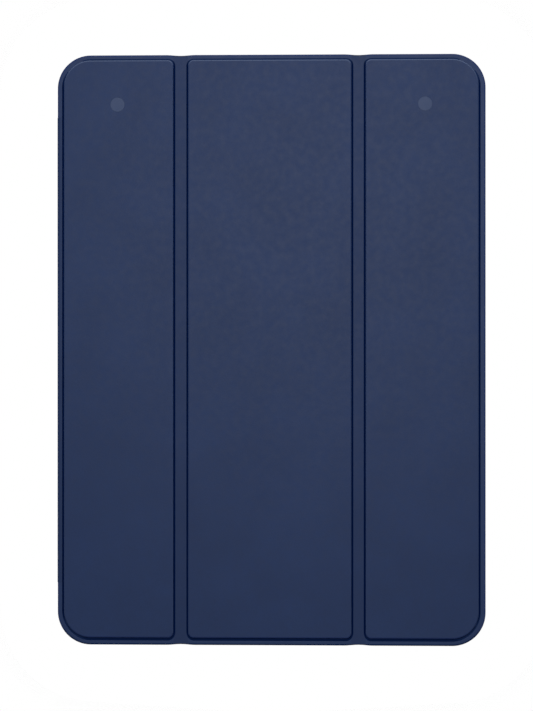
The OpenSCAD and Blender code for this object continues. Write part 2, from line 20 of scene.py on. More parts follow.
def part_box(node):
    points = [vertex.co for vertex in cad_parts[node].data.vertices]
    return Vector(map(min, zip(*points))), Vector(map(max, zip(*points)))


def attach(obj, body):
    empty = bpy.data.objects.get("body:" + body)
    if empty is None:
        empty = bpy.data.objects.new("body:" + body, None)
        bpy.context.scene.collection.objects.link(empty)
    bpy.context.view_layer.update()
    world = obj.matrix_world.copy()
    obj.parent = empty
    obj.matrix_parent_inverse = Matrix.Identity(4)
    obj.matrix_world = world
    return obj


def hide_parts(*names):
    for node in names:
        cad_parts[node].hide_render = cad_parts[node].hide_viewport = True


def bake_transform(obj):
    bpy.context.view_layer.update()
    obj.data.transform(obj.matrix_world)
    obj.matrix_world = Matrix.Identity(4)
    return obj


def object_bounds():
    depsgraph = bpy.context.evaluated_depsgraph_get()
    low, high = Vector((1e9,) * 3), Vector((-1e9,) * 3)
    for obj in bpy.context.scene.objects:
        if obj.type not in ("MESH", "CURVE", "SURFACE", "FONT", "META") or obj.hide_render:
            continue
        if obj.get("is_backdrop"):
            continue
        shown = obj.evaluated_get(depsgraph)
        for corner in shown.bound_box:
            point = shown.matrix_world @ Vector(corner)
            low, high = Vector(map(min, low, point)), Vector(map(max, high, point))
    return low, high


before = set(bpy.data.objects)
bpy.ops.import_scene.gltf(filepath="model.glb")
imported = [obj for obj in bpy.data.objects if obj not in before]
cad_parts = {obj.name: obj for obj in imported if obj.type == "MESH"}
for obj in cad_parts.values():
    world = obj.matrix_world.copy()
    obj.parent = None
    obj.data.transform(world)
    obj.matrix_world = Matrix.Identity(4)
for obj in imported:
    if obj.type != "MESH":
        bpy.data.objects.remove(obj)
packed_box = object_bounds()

MM = 0.001
HAIR = 0.0001
MERGE = 0.0005
FLAT_AREA = 150.0  # a level region with more square millimetres than this isn't part of a round
FLAT_DOT = math.cos(math.radians(0.3))
SAME_FACE, SHARP_EDGE = math.radians(0.4), math.radians(28)
SOFT, CRISP, SHAPED = 60.0, 38.0, 50.0  # degrees past which an edge of a piece stays sharp
WHITE = (1, 1, 1, 1)
Colour = tuple[float, float, float]
Step = tuple[float, float]
Node = bpy.types.Node
Socket = bpy.types.NodeSocket
log = logging.getLogger("keyboard_case")


# ---------------------------------------------------------------- finishes


class Grain(Enum):
    """Surface patterns that a finish can have."""

    LEATHER = "fine pebbled polyurethane"
    MICROFIBRE = "short brushed fibres"
    SPARKED = "fine spark texture of a mould"
    SATIN = "almost smooth, faintly uneven"
    BRUSHED = "lines along the folds"
    FOIL = "creased pouch foil"
    GLASS_FIBRE = "woven glass in resin"
    TRACKS = "printed tracks"


def linear(colour: Colour) -> tuple[float, float, float, float]:
    """Turns a colour as it is seen into the shader's linear numbers.

    Args:
        colour: red, green and blue from 0 to 1 as they look on a screen.

    Returns:
        The linear colour with an alpha of one.
    """
    bent = [c / 12.92 if c <= 0.04045 else ((c + 0.055) / 1.055) ** 2.4 for c in colour]
    return (bent[0], bent[1], bent[2], 1.0)


class Sketch:
    """Short hand for drawing the nodes of a material or of the surroundings."""

    def __init__(self, owner: bpy.types.Material | bpy.types.World) -> None:
        """Starts without any nodes.

        Args:
            owner: what the nodes belong to.
        """
        owner.use_nodes = True
        self.tree = owner.node_tree
        self.tree.nodes.clear()

    def add(self, kind: str, settings: dict | None = None, *values: object, **sockets: object) -> Node:
        """Adds a node and fills its sockets, each with a value or with an output to link.

        Args:
            kind: the node's type, without its common beginning.
            settings: attributes of the node itself.
            values: what goes into its first inputs, in order.
            sockets: what goes into other inputs, by their names with _ for a space.

        Returns:
            The new node.
        """
        node = self.tree.nodes.new(f"ShaderNode{kind}")
        for key, value in (settings or {}).items():
            setattr(node, key, value)
        for key, value in (*enumerate(values), *sockets.items()):
            self.fill(node, key.replace("_", " ") if isinstance(key, str) else key, value)
        return node

    def fill(self, node: Node, socket: str | int, value: object) -> None:
        """Sets or links one input.

        Args:
            node: the node that has the input.
            socket: the input's name or number.
            value: a value, or an output to link.
        """
        if isinstance(value, Socket):
            self.tree.links.new(value, node.inputs[socket])
        else:
            node.inputs[socket].default_value = value

    def read(self, name: str, output: str = "Fac") -> Socket:
        """Reads an attribute of the mesh and returns the output."""
        return self.add("Attribute", {"attribute_name": name}).outputs[output]

    def noise(self, place: Socket, size_mm: float, detail: float = 2.0) -> Socket:
        """Adds noise from 0 to 1 whose lumps have about one size, with finer layers over them."""
        node = self.add("TexNoise", Vector=place, Scale=1 / (size_mm * MM), Detail=detail, Roughness=0.55)
        return node.outputs["Fac"]

    def cells(self, place: Socket, size_mm: float) -> Socket:
        """Adds cells of about one size and returns how far a point is from their middles."""
        return self.add("TexVoronoi", Vector=place, Scale=1 / (size_mm * MM)).outputs["Distance"]

    def spread(self, value: Socket, low: float, high: float, floor: float = 0.3, top: float = 0.7) -> Socket:
        """Spreads a pattern's range from floor to top over that from low to high, and returns the output."""
        ends = {"From_Min": floor, "From_Max": top, "To_Min": low, "To_Max": high}
        return self.add("MapRange", {"clamp": True}, Value=value, **ends).outputs["Result"]

    def worked(self, kind: str, first: object, second: object) -> Socket:
        """Works out one number from two, in the way that kind says, and returns the output."""
        return self.add("Math", {"operation": kind}, first, second).outputs["Value"]

    def product(self, *numbers: object) -> Socket:
        """Multiplies numbers and returns the output."""
        return reduce(lambda first, second: self.worked("MULTIPLY", first, second), numbers)

    def mingled(self, first: Socket, second: Socket, share: float = 0.5) -> Socket:
        """Adds up two patterns, the first of which has the share, and returns the output."""
        return self.worked("ADD", self.product(first, share), self.product(second, 1 - share))

    def tinted(self, colour: Colour, shade: Socket) -> Socket:
        """Scales a colour, as it is seen, by a pattern near one, and returns the output."""
        node = self.add("VectorMath", {"operation": "SCALE"}, linear(colour)[:3], Scale=shade)
        return node.outputs["Vector"]

    def mixed(self, first: Socket, second: Colour, share: Socket) -> Socket:
        """Mixes a second colour into a first.

        Args:
            first: the output with the first colour.
            second: the second colour as it is seen.
            share: the output with the second colour's share.

        Returns:
            The output with the mixed colour.
        """
        node = self.add("Mix", {"data_type": "RGBA", "clamp_factor": True}, share)
        self.fill(node, 6, first)
        self.fill(node, 7, linear(second))
        return node.outputs[2]


@dataclass(frozen=True)
class Finish:
    """How one material of the case looks.

    The sizes of the grain and of the two larger patterns are in millimetres, relief is the depth of its
    bumps in millimetres, and variation is the share by which the colour changes over the surface. Where
    a surface is marked as pressed, the colour is darkened by a scale or mixed towards a darker colour, as
    painted shade, and where the mark is below nothing it is mixed towards a lighter colour, as a painted
    highlight.
    """

    name: str
    colour: Colour
    grain: Grain
    roughness: float = 0.5
    metallic: float = 0.0
    specular: float = 0.4
    sheen: float = 0.0
    coat: float = 0.0
    grain_mm: float = 0.4
    relief: float = 0.02
    variation: float = 0.06
    # These paint light into the colour: a scale and a darker colour for painted shade where the mesh is
    # marked as pressed, and a lighter colour for a painted highlight where the mark is below nothing.
    painted_shade: float = 1.0
    deep: Colour | None = None
    painted_highlight: Colour | None = None
    in_slot: str = ""
    cloud_mm: float = 24
    patch_mm: float = 3.2
    rough_play: float = 0.04

    @property
    def slot(self) -> str:
        """The slot that the finish belongs to, which has its name unless another is given."""
        return self.in_slot or self.name

    def material(self) -> bpy.types.Material:
        """Draws the finish's nodes, once.

        Returns:
            The material.
        """
        found = bpy.data.materials.get(f"{self.name}_finish")
        if found:
            return found
        material = bpy.data.materials.new(f"{self.name}_finish")
        sketch = Sketch(material)
        place = self.place(sketch)
        height = self.height(sketch, place)
        cloud, patch = sketch.noise(place, self.cloud_mm, 3), sketch.noise(place, self.patch_mm)
        shades = []
        for pattern, part, floor in ((cloud, 1.0, 0.3), (patch, 0.5, 0.3), (height, 0.9, 0.25)):
            by = self.variation * part
            shades.append(sketch.spread(pattern, 1 - by, 1 + by, floor, 1 - floor))
        # Painted shade: the colour is scaled down where the mesh is marked as pressed.
        if self.painted_shade < 1:
            shades.append(sketch.spread(sketch.read("pressed"), 1, self.painted_shade, 0, 1))
        colour = sketch.tinted(self.colour, sketch.product(*shades))
        # Painted shade mixes in a darker colour where the mark is above nothing, and a painted highlight
        # mixes in a lighter one where it is below.
        for other, full in ((self.deep, 1.0), (self.painted_highlight, -1.0)):
            if other:
                colour = sketch.mixed(colour, other, sketch.spread(sketch.read("pressed"), 0, 1, 0, full))
        rough = sketch.spread(patch, self.roughness - self.rough_play, self.roughness + self.rough_play)
        bump = sketch.add("Bump", Strength=1.0, Distance=self.relief * MM, Height=height)
        shader = sketch.add(
            "BsdfPrincipled", Base_Color=colour, Roughness=rough, Normal=bump.outputs["Normal"],
            Metallic=self.metallic, Specular_IOR_Level=self.specular, Sheen_Weight=self.sheen,
            Coat_Weight=self.coat,
        )
        sketch.add("OutputMaterial", Surface=shader.outputs["BSDF"])
        material.diffuse_color = linear(self.colour)
        return material

    def place(self, sketch: Sketch) -> Socket:
        """Gives the point that the pattern is read at.

        Args:
            sketch: the material's nodes.

        Returns:
            The output: where the point was before any fold, for skins and linings.
        """
        if self.grain in (Grain.LEATHER, Grain.MICROFIBRE):
            return sketch.read("laid_flat", "Vector")
        return sketch.add("TexCoord").outputs["Object"]

    def height(self, sketch: Sketch, place: Socket) -> Socket:
        """Draws the grain itself.

        Args:
            sketch: the material's nodes.
            place: the output that gives the point.

        Returns:
            The output with the height, from about 0 to 1.
        """
        size = self.grain_mm
        fine = sketch.noise(place, size)
        if self.grain is Grain.LEATHER:
            return sketch.mingled(fine, sketch.cells(place, size * 1.3), 0.6)
        if self.grain is Grain.MICROFIBRE:
            return sketch.mingled(fine, self.stretched(sketch, place, 0.25))
        if self.grain is Grain.BRUSHED:
            return self.stretched(sketch, place, 0.03)
        if self.grain is Grain.FOIL:
            return sketch.mingled(sketch.cells(place, size * 8), fine)
        if self.grain is Grain.GLASS_FIBRE:
            scale = 0.3 / (size * MM)
            weave = [
                sketch.add("TexWave", {"bands_direction": axis}, Vector=place, Scale=scale, Distortion=0.6)
                for axis in ("X", "Y")
            ]
            return sketch.mingled(*(threads.outputs["Fac"] for threads in weave))
        if self.grain is Grain.TRACKS:
            bricks = sketch.add("TexBrick", Vector=place, Scale=0.25 / (size * MM), Mortar_Size=0.06)
            return bricks.outputs["Fac"]
        return fine

    def stretched(self, sketch: Sketch, place: Socket, along: float) -> Socket:
        """Draws noise out along the folds, whose measure is scaled by along, and returns the output."""
        mapping = sketch.add("Mapping", Vector=place, Scale=(1, along, 1))
        return sketch.noise(mapping.outputs["Vector"], self.grain_mm * 0.7)


NAVY = (0.104, 0.167, 0.299)
BRIGHT_METAL = (0.70, 0.71, 0.73)
# The skin is darkened and turned bluer where marked as pressed, as painted shade in its lines and on its
# edges, and turned paler as a painted highlight on the panels' bevels.
SKIN = Finish(
    "cover_skin", NAVY, Grain.LEATHER, 0.49, specular=0.13, grain_mm=0.5, variation=0.07,
    painted_shade=0.35, deep=(0.06, 0.16, 0.39), painted_highlight=(0.26, 0.31, 0.42),
)
# Darkened where marked as pressed, as painted shade in the creases' lines and edges.
WELT = Finish(
    "crease_skin", (0.097, 0.158, 0.287), Grain.LEATHER, 0.51, specular=0.12, grain_mm=0.5,
    painted_shade=0.35,
)
# Dark and without reflection, put on the faces of the pressed lines and of the outer edge at the lower ends
# as painted shade.
LINE_SHADE = Finish(
    "painted_line_shade", NAVY, Grain.LEATHER, 0.9, specular=0.0, grain_mm=0.5, relief=0.01, variation=0.035,
    deep=(0.0, 0.07, 0.235), in_slot="cover_skin",
)
# Darkened a little where marked as pressed, as painted shade in its lines.
LINING = Finish(
    "lining", (0.135, 0.182, 0.290), Grain.MICROFIBRE, 0.9, specular=0.05, sheen=0.05, grain_mm=0.3,
    relief=0.05, variation=0.08, painted_shade=0.75,
)
STIFFENER = Finish("stiffener", (0.62, 0.62, 0.58), Grain.GLASS_FIBRE, 0.6, grain_mm=1.0)
MAGNET_COVER = Finish(
    "magnet_cover", (0.193, 0.243, 0.357), Grain.SATIN, specular=0.13, grain_mm=0.35, relief=0.01,
    variation=0.05,
)
MAGNET = Finish("magnet", BRIGHT_METAL, Grain.SATIN, 0.25, 1.0, grain_mm=0.6, relief=0.004)
TRAY_BACK = Finish(
    "tray_back", (0.106, 0.164, 0.290), Grain.SPARKED, 0.62, specular=0.12, grain_mm=0.28, relief=0.03
)
BUMPER = Finish("bumper", (0.100, 0.157, 0.278), Grain.SATIN, specular=0.14, grain_mm=0.5, relief=0.015)
BUTTON = Finish("button_rubber", (0.112, 0.172, 0.300), Grain.SATIN, 0.45, specular=0.16, relief=0.012)
CAMERA_TRIM = Finish(
    "camera_trim", (0.32, 0.36, 0.46), Grain.BRUSHED, 0.35, 0.9, grain_mm=0.3, relief=0.006
)
KEYBOARD_CASE = Finish(
    "keyboard_case", (0.112, 0.166, 0.284), Grain.SPARKED, 0.55, specular=0.14, grain_mm=0.25, relief=0.025
)
STEEL = Finish("support_steel", (0.62, 0.63, 0.65), Grain.BRUSHED, 0.38, 1.0, relief=0.006)
CIRCUIT_FILM = Finish(
    "circuit_film", (0.82, 0.84, 0.80), Grain.TRACKS, 0.35, grain_mm=0.6, relief=0.01, variation=0.12
)
DOME = Finish("dome_rubber", (0.80, 0.82, 0.85), Grain.SATIN, grain_mm=0.3, relief=0.01)
POUCH = Finish("battery_foil", (0.72, 0.73, 0.75), Grain.FOIL, 0.4, 0.85, grain_mm=0.6, relief=0.03)
CIRCUIT_BOARD = Finish(
    "circuit_board", (0.05, 0.22, 0.12), Grain.TRACKS, 0.4, grain_mm=0.35, relief=0.01, variation=0.3
)
SOCKET = Finish("socket_metal", BRIGHT_METAL, Grain.BRUSHED, 0.3, 1.0, grain_mm=0.2, relief=0.004)
SWITCH = Finish(
    "switch_plastic", (0.20, 0.24, 0.34), Grain.SATIN, 0.45, specular=0.2, grain_mm=0.3, relief=0.01
)
LIGHT_PIPE = Finish(
    "light_pipe", (0.85, 0.88, 0.92), Grain.SATIN, 0.15, coat=0.5, grain_mm=0.3, relief=0.002
)
FOOT = Finish("foot_rubber", (0.09, 0.10, 0.12), Grain.SPARKED, 0.8, grain_mm=0.3, relief=0.03)
KEYCAP = Finish(
    "keycap", (0.124, 0.182, 0.306), Grain.SPARKED, specular=0.15, grain_mm=0.2, relief=0.015, variation=0.05
)
LEGEND = Finish(
    "legend_ink", (0.86, 0.88, 0.90), Grain.SATIN, 0.6, grain_mm=0.15, relief=0.004, variation=0.04,
    in_slot="keycap",
)
CHIP = Finish("chip", (0.07, 0.07, 0.08), Grain.SPARKED, grain_mm=0.2, relief=0.01, in_slot="circuit_board")
TAPE = Finish(
    "tape", (0.70, 0.52, 0.12), Grain.SATIN, 0.35, grain_mm=0.5, relief=0.01, in_slot="battery_foil"
)


# ---------------------------------------------------------------- shapes


def span(node: str) -> tuple[Vector, Vector]:
    """Reads where a node lies.

    Args:
        node: the node's name.

    Returns:
        Its lowest and its highest corner, in millimetres.
    """
    low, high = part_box(node)
    return low / MM, high / MM


def quarter(radius: float, count: int = 6) -> list[Step]:
    """Steps of a quarter round, from a wall over to a flat.

    Args:
        radius: the round's radius.
        count: how many steps it has.

    Returns:
        How far in and how far up each step goes.
    """
    turns = [math.pi / 2 * i / count for i in range(count + 1)]
    return [
        (radius * (math.cos(a) - math.cos(b)), radius * (math.sin(b) - math.sin(a)))
        for a, b in zip(turns, turns[1:])
    ]


def pressed_steps(inset: float, slope: float, width: float, depth: float) -> list[Step]:
    """Steps inwards over a flat with a line pressed into it.

    Args:
        inset: how far in the flat goes on before the line.
        slope: the width of each of the line's sides.
        width: the width of its bottom.
        depth: its depth.

    Returns:
        How far in and how far up each step goes.
    """
    return [(inset, 0), (0.05, 0), (slope, -depth), (width, 0), (slope, depth), (0.05, 0), (0.5, 0)]


def rounded(
    bm: BMesh, geom: Iterable, width: float, segments: int, affect: str = "EDGES", clamp: bool = False
) -> None:
    """Rounds edges or corners.

    Args:
        bm: the mesh.
        geom: the edges or points.
        width: how wide the round is.
        segments: how many sides it has.
        affect: EDGES or VERTICES.
        clamp: whether rounds shrink where they would meet.
    """
    bmesh.ops.bevel(
        bm, geom=list(geom), offset=width, offset_type="OFFSET", segments=segments, profile=0.5,
        affect=affect, material=-1, clamp_overlap=clamp,
    )


@dataclass(frozen=True)
class Outline:
    """Rectangle with one corner radius towards the spine and another towards the free edge."""

    x0: float
    x1: float
    y0: float
    y1: float
    r0: float
    r1: float

    def grown(self, by: float) -> "Outline":
        """Moves every side outwards, or inwards for less than nothing, and keeps the arcs' centres."""
        r0, r1 = (max(r + by, 0.0) if r > 0 else 0.0 for r in (self.r0, self.r1))
        return Outline(self.x0 - by, self.x1 + by, self.y0 - by, self.y1 + by, r0, r1)

    def face(self, bm: BMesh, z: float, up: bool = True, segments: int = 12) -> BMFace:
        """Makes the outline as one face whose corners are rounded.

        Args:
            bm: the mesh that gets the face.
            z: the face's height.
            up: whether the face looks up.
            segments: how many sides each corner has.

        Returns:
            The face.
        """
        others = set(bm.faces)
        places = [(self.x0, self.y0), (self.x1, self.y0), (self.x1, self.y1), (self.x0, self.y1)]
        corners = [bm.verts.new((x, y, z)) for x, y in places]
        bm.faces.new(corners if up else corners[::-1])
        for pair, radius in ((corners[::3], self.r0), (corners[1:3], self.r1)):
            if radius > 0:
                rounded(bm, pair, radius, segments, "VERTICES")
        face = next(f for f in bm.faces if f not in others)
        face.normal_update()
        return face

    def radius_at(self, x: float) -> float:
        """Gives the radius of the corners nearest to a place across the folds."""
        return self.r0 if x < (self.x0 + self.x1) / 2 else self.r1

    def past(self, point: Vector) -> tuple[float, float]:
        """Gives how far a point lies past the centre of the nearest corner.

        Args:
            point: the point, whose height doesn't matter.

        Returns:
            The distance across the folds, and along them with less than nothing towards -Y. Both are
            nothing beside a straight side.
        """
        x, y, r = point.x, point.y, self.radius_at(point.x)
        along = max(y - self.y1 + r, 0.0) + min(y - self.y0 - r, 0.0)
        return max(self.x0 + r - x, x - self.x1 + r, 0.0), along

    def holds(self, point: Vector) -> bool:
        """Says whether a point lies inside.

        Args:
            point: the point, whose height doesn't matter.

        Returns:
            True where it does.
        """
        if not (self.x0 <= point.x <= self.x1 and self.y0 <= point.y <= self.y1):
            return False
        dx, dy = self.past(point)
        return math.hypot(dx, dy) <= self.radius_at(point.x) or dx == 0.0 or dy == 0.0

    def lean(self, point: Vector) -> float:
        """Says how far the nearest side faces +Y: minus one for -Y, and nothing along the folds."""
        dx, dy = self.past(point)
        return dy / max(math.hypot(dx, dy), HAIR)


def stepped(bm: BMesh, face: BMFace, steps: Iterable[Step]) -> BMFace:
    """Insets a face again and again, which draws a section round its outline.

    Args:
        bm: the mesh.
        face: the face to start from.
        steps: how far in and how far along its normal each step goes.

    Returns:
        The face that is left in the middle.
    """
    for inwards, along in steps:
        bmesh.ops.inset_region(
            bm, faces=[face], thickness=max(inwards, HAIR), depth=along, use_even_offset=True,
            use_boundary=True,
        )
    return face


def filled(bm: BMesh, edges: Iterable[BMEdge], up: bool = True) -> None:
    """Fills the flat region between closed rings of edges.

    Args:
        bm: the mesh.
        edges: the rings' edges.
        up: whether the new faces look up.
    """
    made = bmesh.ops.triangle_fill(
        bm, use_beauty=True, use_dissolve=False, edges=list(edges), normal=(0, 0, 1 if up else -1)
    )
    for f in (g for g in made["geom"] if isinstance(g, BMFace)):
        f.normal_update()
        if (f.normal.z > 0) != up:
            f.normal_flip()


def circle(
    bm: BMesh, low: Vector, high: Vector, z: float, play: float = 0.0, cap: bool = False
) -> list[BMVert]:
    """Draws a level circle in a box.

    Args:
        bm: the mesh.
        low: the box's lowest corner.
        high: the box's highest corner.
        z: the circle's height.
        play: how much larger its radius is.
        cap: whether it has a face.

    Returns:
        Its points.
    """
    middle = (low + high) / 2
    place = Matrix.Translation((middle.x, middle.y, z))
    radius = (high.x - low.x) / 2 + play
    return bmesh.ops.create_circle(bm, cap_ends=cap, radius=radius, segments=48, matrix=place)["verts"]


def cut(bm: BMesh, place: Sequence[float], normal: Sequence[float], drop: bool = False) -> None:
    """Cuts a mesh along a plane.

    Args:
        bm: the mesh.
        place: a point of the plane.
        normal: the plane's normal.
        drop: whether what lies on the normal's side goes.
    """
    everything = [*bm.verts, *bm.edges, *bm.faces]
    bmesh.ops.bisect_plane(bm, geom=everything, plane_co=place, plane_no=normal, clear_outer=drop)


def points(made: dict) -> list[BMVert]:
    """Picks the points out of what an operator made.

    Args:
        made: what the operator returned.

    Returns:
        The points.
    """
    return [g for g in made["geom"] if isinstance(g, BMVert)]


def closed(bm: BMesh) -> None:
    """Closes every open ring of a mesh, and turns its faces outwards.

    Args:
        bm: the mesh.
    """
    bmesh.ops.holes_fill(bm, edges=[e for e in bm.edges if e.is_boundary], sides=0)
    outwards(bm)


def outwards(bm: BMesh) -> None:
    """Turns the faces of a closed mesh outwards.

    Args:
        bm: the mesh.
    """
    bmesh.ops.recalc_face_normals(bm, faces=list(bm.faces))
    if bm.calc_volume(signed=True) < 0:
        bmesh.ops.reverse_faces(bm, faces=list(bm.faces))


def backed(bm: BMesh, under: Callable[[Vector], float]) -> None:
    """Gives an open surface a body, down to another height at each point.

    Args:
        bm: the surface.
        under: the height of the underside at a point.
    """
    for v in points(bmesh.ops.extrude_face_region(bm, geom=list(bm.faces))):
        v.co.z = under(v.co)
    outwards(bm)


def kept_mesh(bm: BMesh, name: str) -> bpy.types.Mesh:
    """Turns a working mesh into a lasting one.

    Args:
        bm: the working mesh, which is freed.
        name: the lasting mesh's name.

    Returns:
        The lasting mesh.
    """
    mesh = bpy.data.meshes.new(name)
    bm.to_mesh(mesh)
    bm.free()
    return mesh


def joined(bm: BMesh, mesh: bpy.types.Mesh) -> None:
    """Adds a mesh to a working mesh.

    Args:
        bm: the working mesh.
        mesh: the other, which is removed.
    """
    bm.from_mesh(mesh)
    bpy.data.meshes.remove(mesh)


def shown(name: str, data: bpy.types.ID) -> bpy.types.Object:
    """Puts something into the scene.

    Args:
        name: the name that it gets.
        data: a mesh, a lamp or a camera.

    Returns:
        The object that shows it.
    """
    obj = bpy.data.objects.new(name, data)
    bpy.context.scene.collection.objects.link(obj)
    return obj


def marked(mesh: bpy.types.Mesh, name: str, values: Iterable[float]) -> None:
    """Gives each point of a mesh a number that its finish reads.

    Args:
        mesh: the mesh.
        name: the name that the finish reads it by.
        values: the numbers, in the order of the points.
    """
    mesh.attributes.new(name, "FLOAT", "POINT").data.foreach_set("value", list(values))


def shade_pressed_line(piece: bpy.types.Object, level: float, depth: float) -> None:
    """Marks the points of a lining or skin that lie in its pressed line, which its finish darkens as painted
    shade.

    Args:
        piece: the lining or skin.
        level: the height of its visible face in millimetres.
        depth: the line's depth.
    """
    depths = [abs(v.co.z / MM - level) for v in piece.data.vertices]
    marked(piece.data, "pressed", [1.0 if abs(d - depth) < 0.01 else 0.0 for d in depths])


@dataclass
class Maker:
    """Turns finished meshes into pieces of the case, and keeps count of them."""

    made: list[str] = field(default_factory=list)

    def piece(
        self,
        bm: BMesh,
        node: str,
        look: str,
        finishes: Sequence[Finish],
        body: str | tuple[str, str],
        ends: tuple[Vector, Vector] | None = None,
        crisp: float = CRISP,
    ) -> bpy.types.Object:
        """Makes a piece out of a mesh in millimetres.

        Args:
            bm: the mesh, which is freed.
            node: the node that it stands for, which starts its name.
            look: the rest of its name.
            finishes: its finishes, in the order of its material numbers.
            body: the body that it rides on, or the two that it lies between, in which case it is attached to
                neither.
            ends: where the bend starts and ends, in millimetres; not used.
            crisp: the angle in degrees past which an edge stays sharp.

        Returns:
            The piece.
        """
        flat = flat_faces(bm) if isinstance(body, str) else set()
        smooth = [f not in flat for f in bm.faces]
        bmesh.ops.scale(bm, vec=(MM, MM, MM), verts=list(bm.verts))
        name = f"{node}_{look}"
        mesh = kept_mesh(bm, name)
        mesh.set_sharp_from_angle(angle=math.radians(crisp))
        mesh.polygons.foreach_set("use_smooth", smooth)
        laid = mesh.attributes.new("laid_flat", "FLOAT_VECTOR", "POINT")
        laid.data.foreach_set("vector", [c for v in mesh.vertices for c in v.co])
        for finish in finishes:
            mesh.materials.append(finish.material())
        obj = shown(name, mesh)
        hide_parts(node)
        finishes[0].slot
        if isinstance(body, str):
            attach(obj, body)
        else:
            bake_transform(obj)
        self.made.append(name)
        log.info("%s: %d faces, with %s", name, len(mesh.polygons), body)
        return obj

    def eased(
        self,
        node: str,
        body: str,
        finish: Finish,
        ease: float,
        segments: int = 2,
        extra: Callable[[BMesh], None] | None = None,
        more: Sequence[Finish] = (),
        clamp: bool = True,
    ) -> None:
        """Makes a piece from a node's own shape, with its sharp edges eased.

        Args:
            node: the node's name.
            body: the body that it rides on.
            finish: its finish.
            ease: the width of the eased edges in millimetres.
            segments: how many sides an eased edge has.
            extra: adds more to the mesh, which is in millimetres.
            more: the finishes of what that adds.
            clamp: whether the eased edges shrink where they would meet.
        """
        bm = copied(node)
        sharp = [e for e in bm.edges if len(e.link_faces) == 2 and e.calc_face_angle(0.0) > SHARP_EDGE]
        rounded(bm, sharp, ease, segments, clamp=clamp)
        if extra:
            extra(bm)
        self.piece(bm, node, "shaped", [finish, *more], body, crisp=SHAPED)

    def kept(self, node: str, finish: Finish) -> None:
        """Dresses a node that keeps its own shape.

        Args:
            node: the node's name.
            finish: its finish.
        """
        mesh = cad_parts[node].data
        mesh.materials.clear()
        mesh.materials.append(finish.material())
        self.made.append(node)
        log.info("%s: kept, in %s", node, finish.name)


def copied(node: str) -> BMesh:
    """Copies a node's mesh, in millimetres, with its triangles merged into whole faces.

    Args:
        node: the node's name.

    Returns:
        The copy.
    """
    bm = bmesh.new()
    bm.from_mesh(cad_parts[node].data)
    bmesh.ops.scale(bm, vec=(1 / MM, 1 / MM, 1 / MM), verts=list(bm.verts))
    bmesh.ops.remove_doubles(bm, verts=list(bm.verts), dist=MERGE)
    bmesh.ops.dissolve_limit(
        bm, angle_limit=SAME_FACE, use_dissolve_boundaries=False, verts=list(bm.verts), edges=list(bm.edges)
    )
    return bm


def regions(items: Iterable, beside: Callable[[object], Iterable]) -> Iterable[list]:
    """Parts faces or points into regions that hang together.

    Args:
        items: the faces or points.
        beside: gives what may belong to the region of an item, besides it.

    Yields:
        The items of one region after another.
    """
    left = set(items)
    while left:
        region, edge = [], [left.pop()]
        while edge:
            region.append(edge.pop())
            for other in beside(region[-1]):
                if other in left:
                    left.discard(other)
                    edge.append(other)
        yield region


def flat_faces(bm: BMesh) -> set[BMFace]:
    """Finds the faces of every wide level region.

    They stay flat, so that a round beside them can't darken them.

    Args:
        bm: the mesh, in millimetres.

    Returns:
        The faces.
    """

    def level(face: BMFace) -> list[BMFace]:
        """Gives the faces beside a face that lie as it does."""
        beside = {g for e in face.edges for g in e.link_faces}
        return [g for g in beside if g.normal.dot(face.normal) > FLAT_DOT]

    bm.normal_update()
    wide = (part for part in regions(bm.faces, level) if sum(f.calc_area() for f in part) > FLAT_AREA)
    return {f for part in wide for f in part}


def islands(bm: BMesh) -> list[tuple[Vector, Vector]]:
    """Finds the separate bodies of a mesh.

    Args:
        bm: the mesh.

    Returns:
        The lowest and the highest corner of each.
    """
    boxes = []
    for part in regions(bm.verts, lambda v: [e.other_vert(v) for e in v.link_edges]):
        boxes.append(tuple(Vector([pick(v.co[i] for v in part) for i in range(3)]) for pick in (min, max)))
    return boxes


# ---------------------------------------------------------------- cover


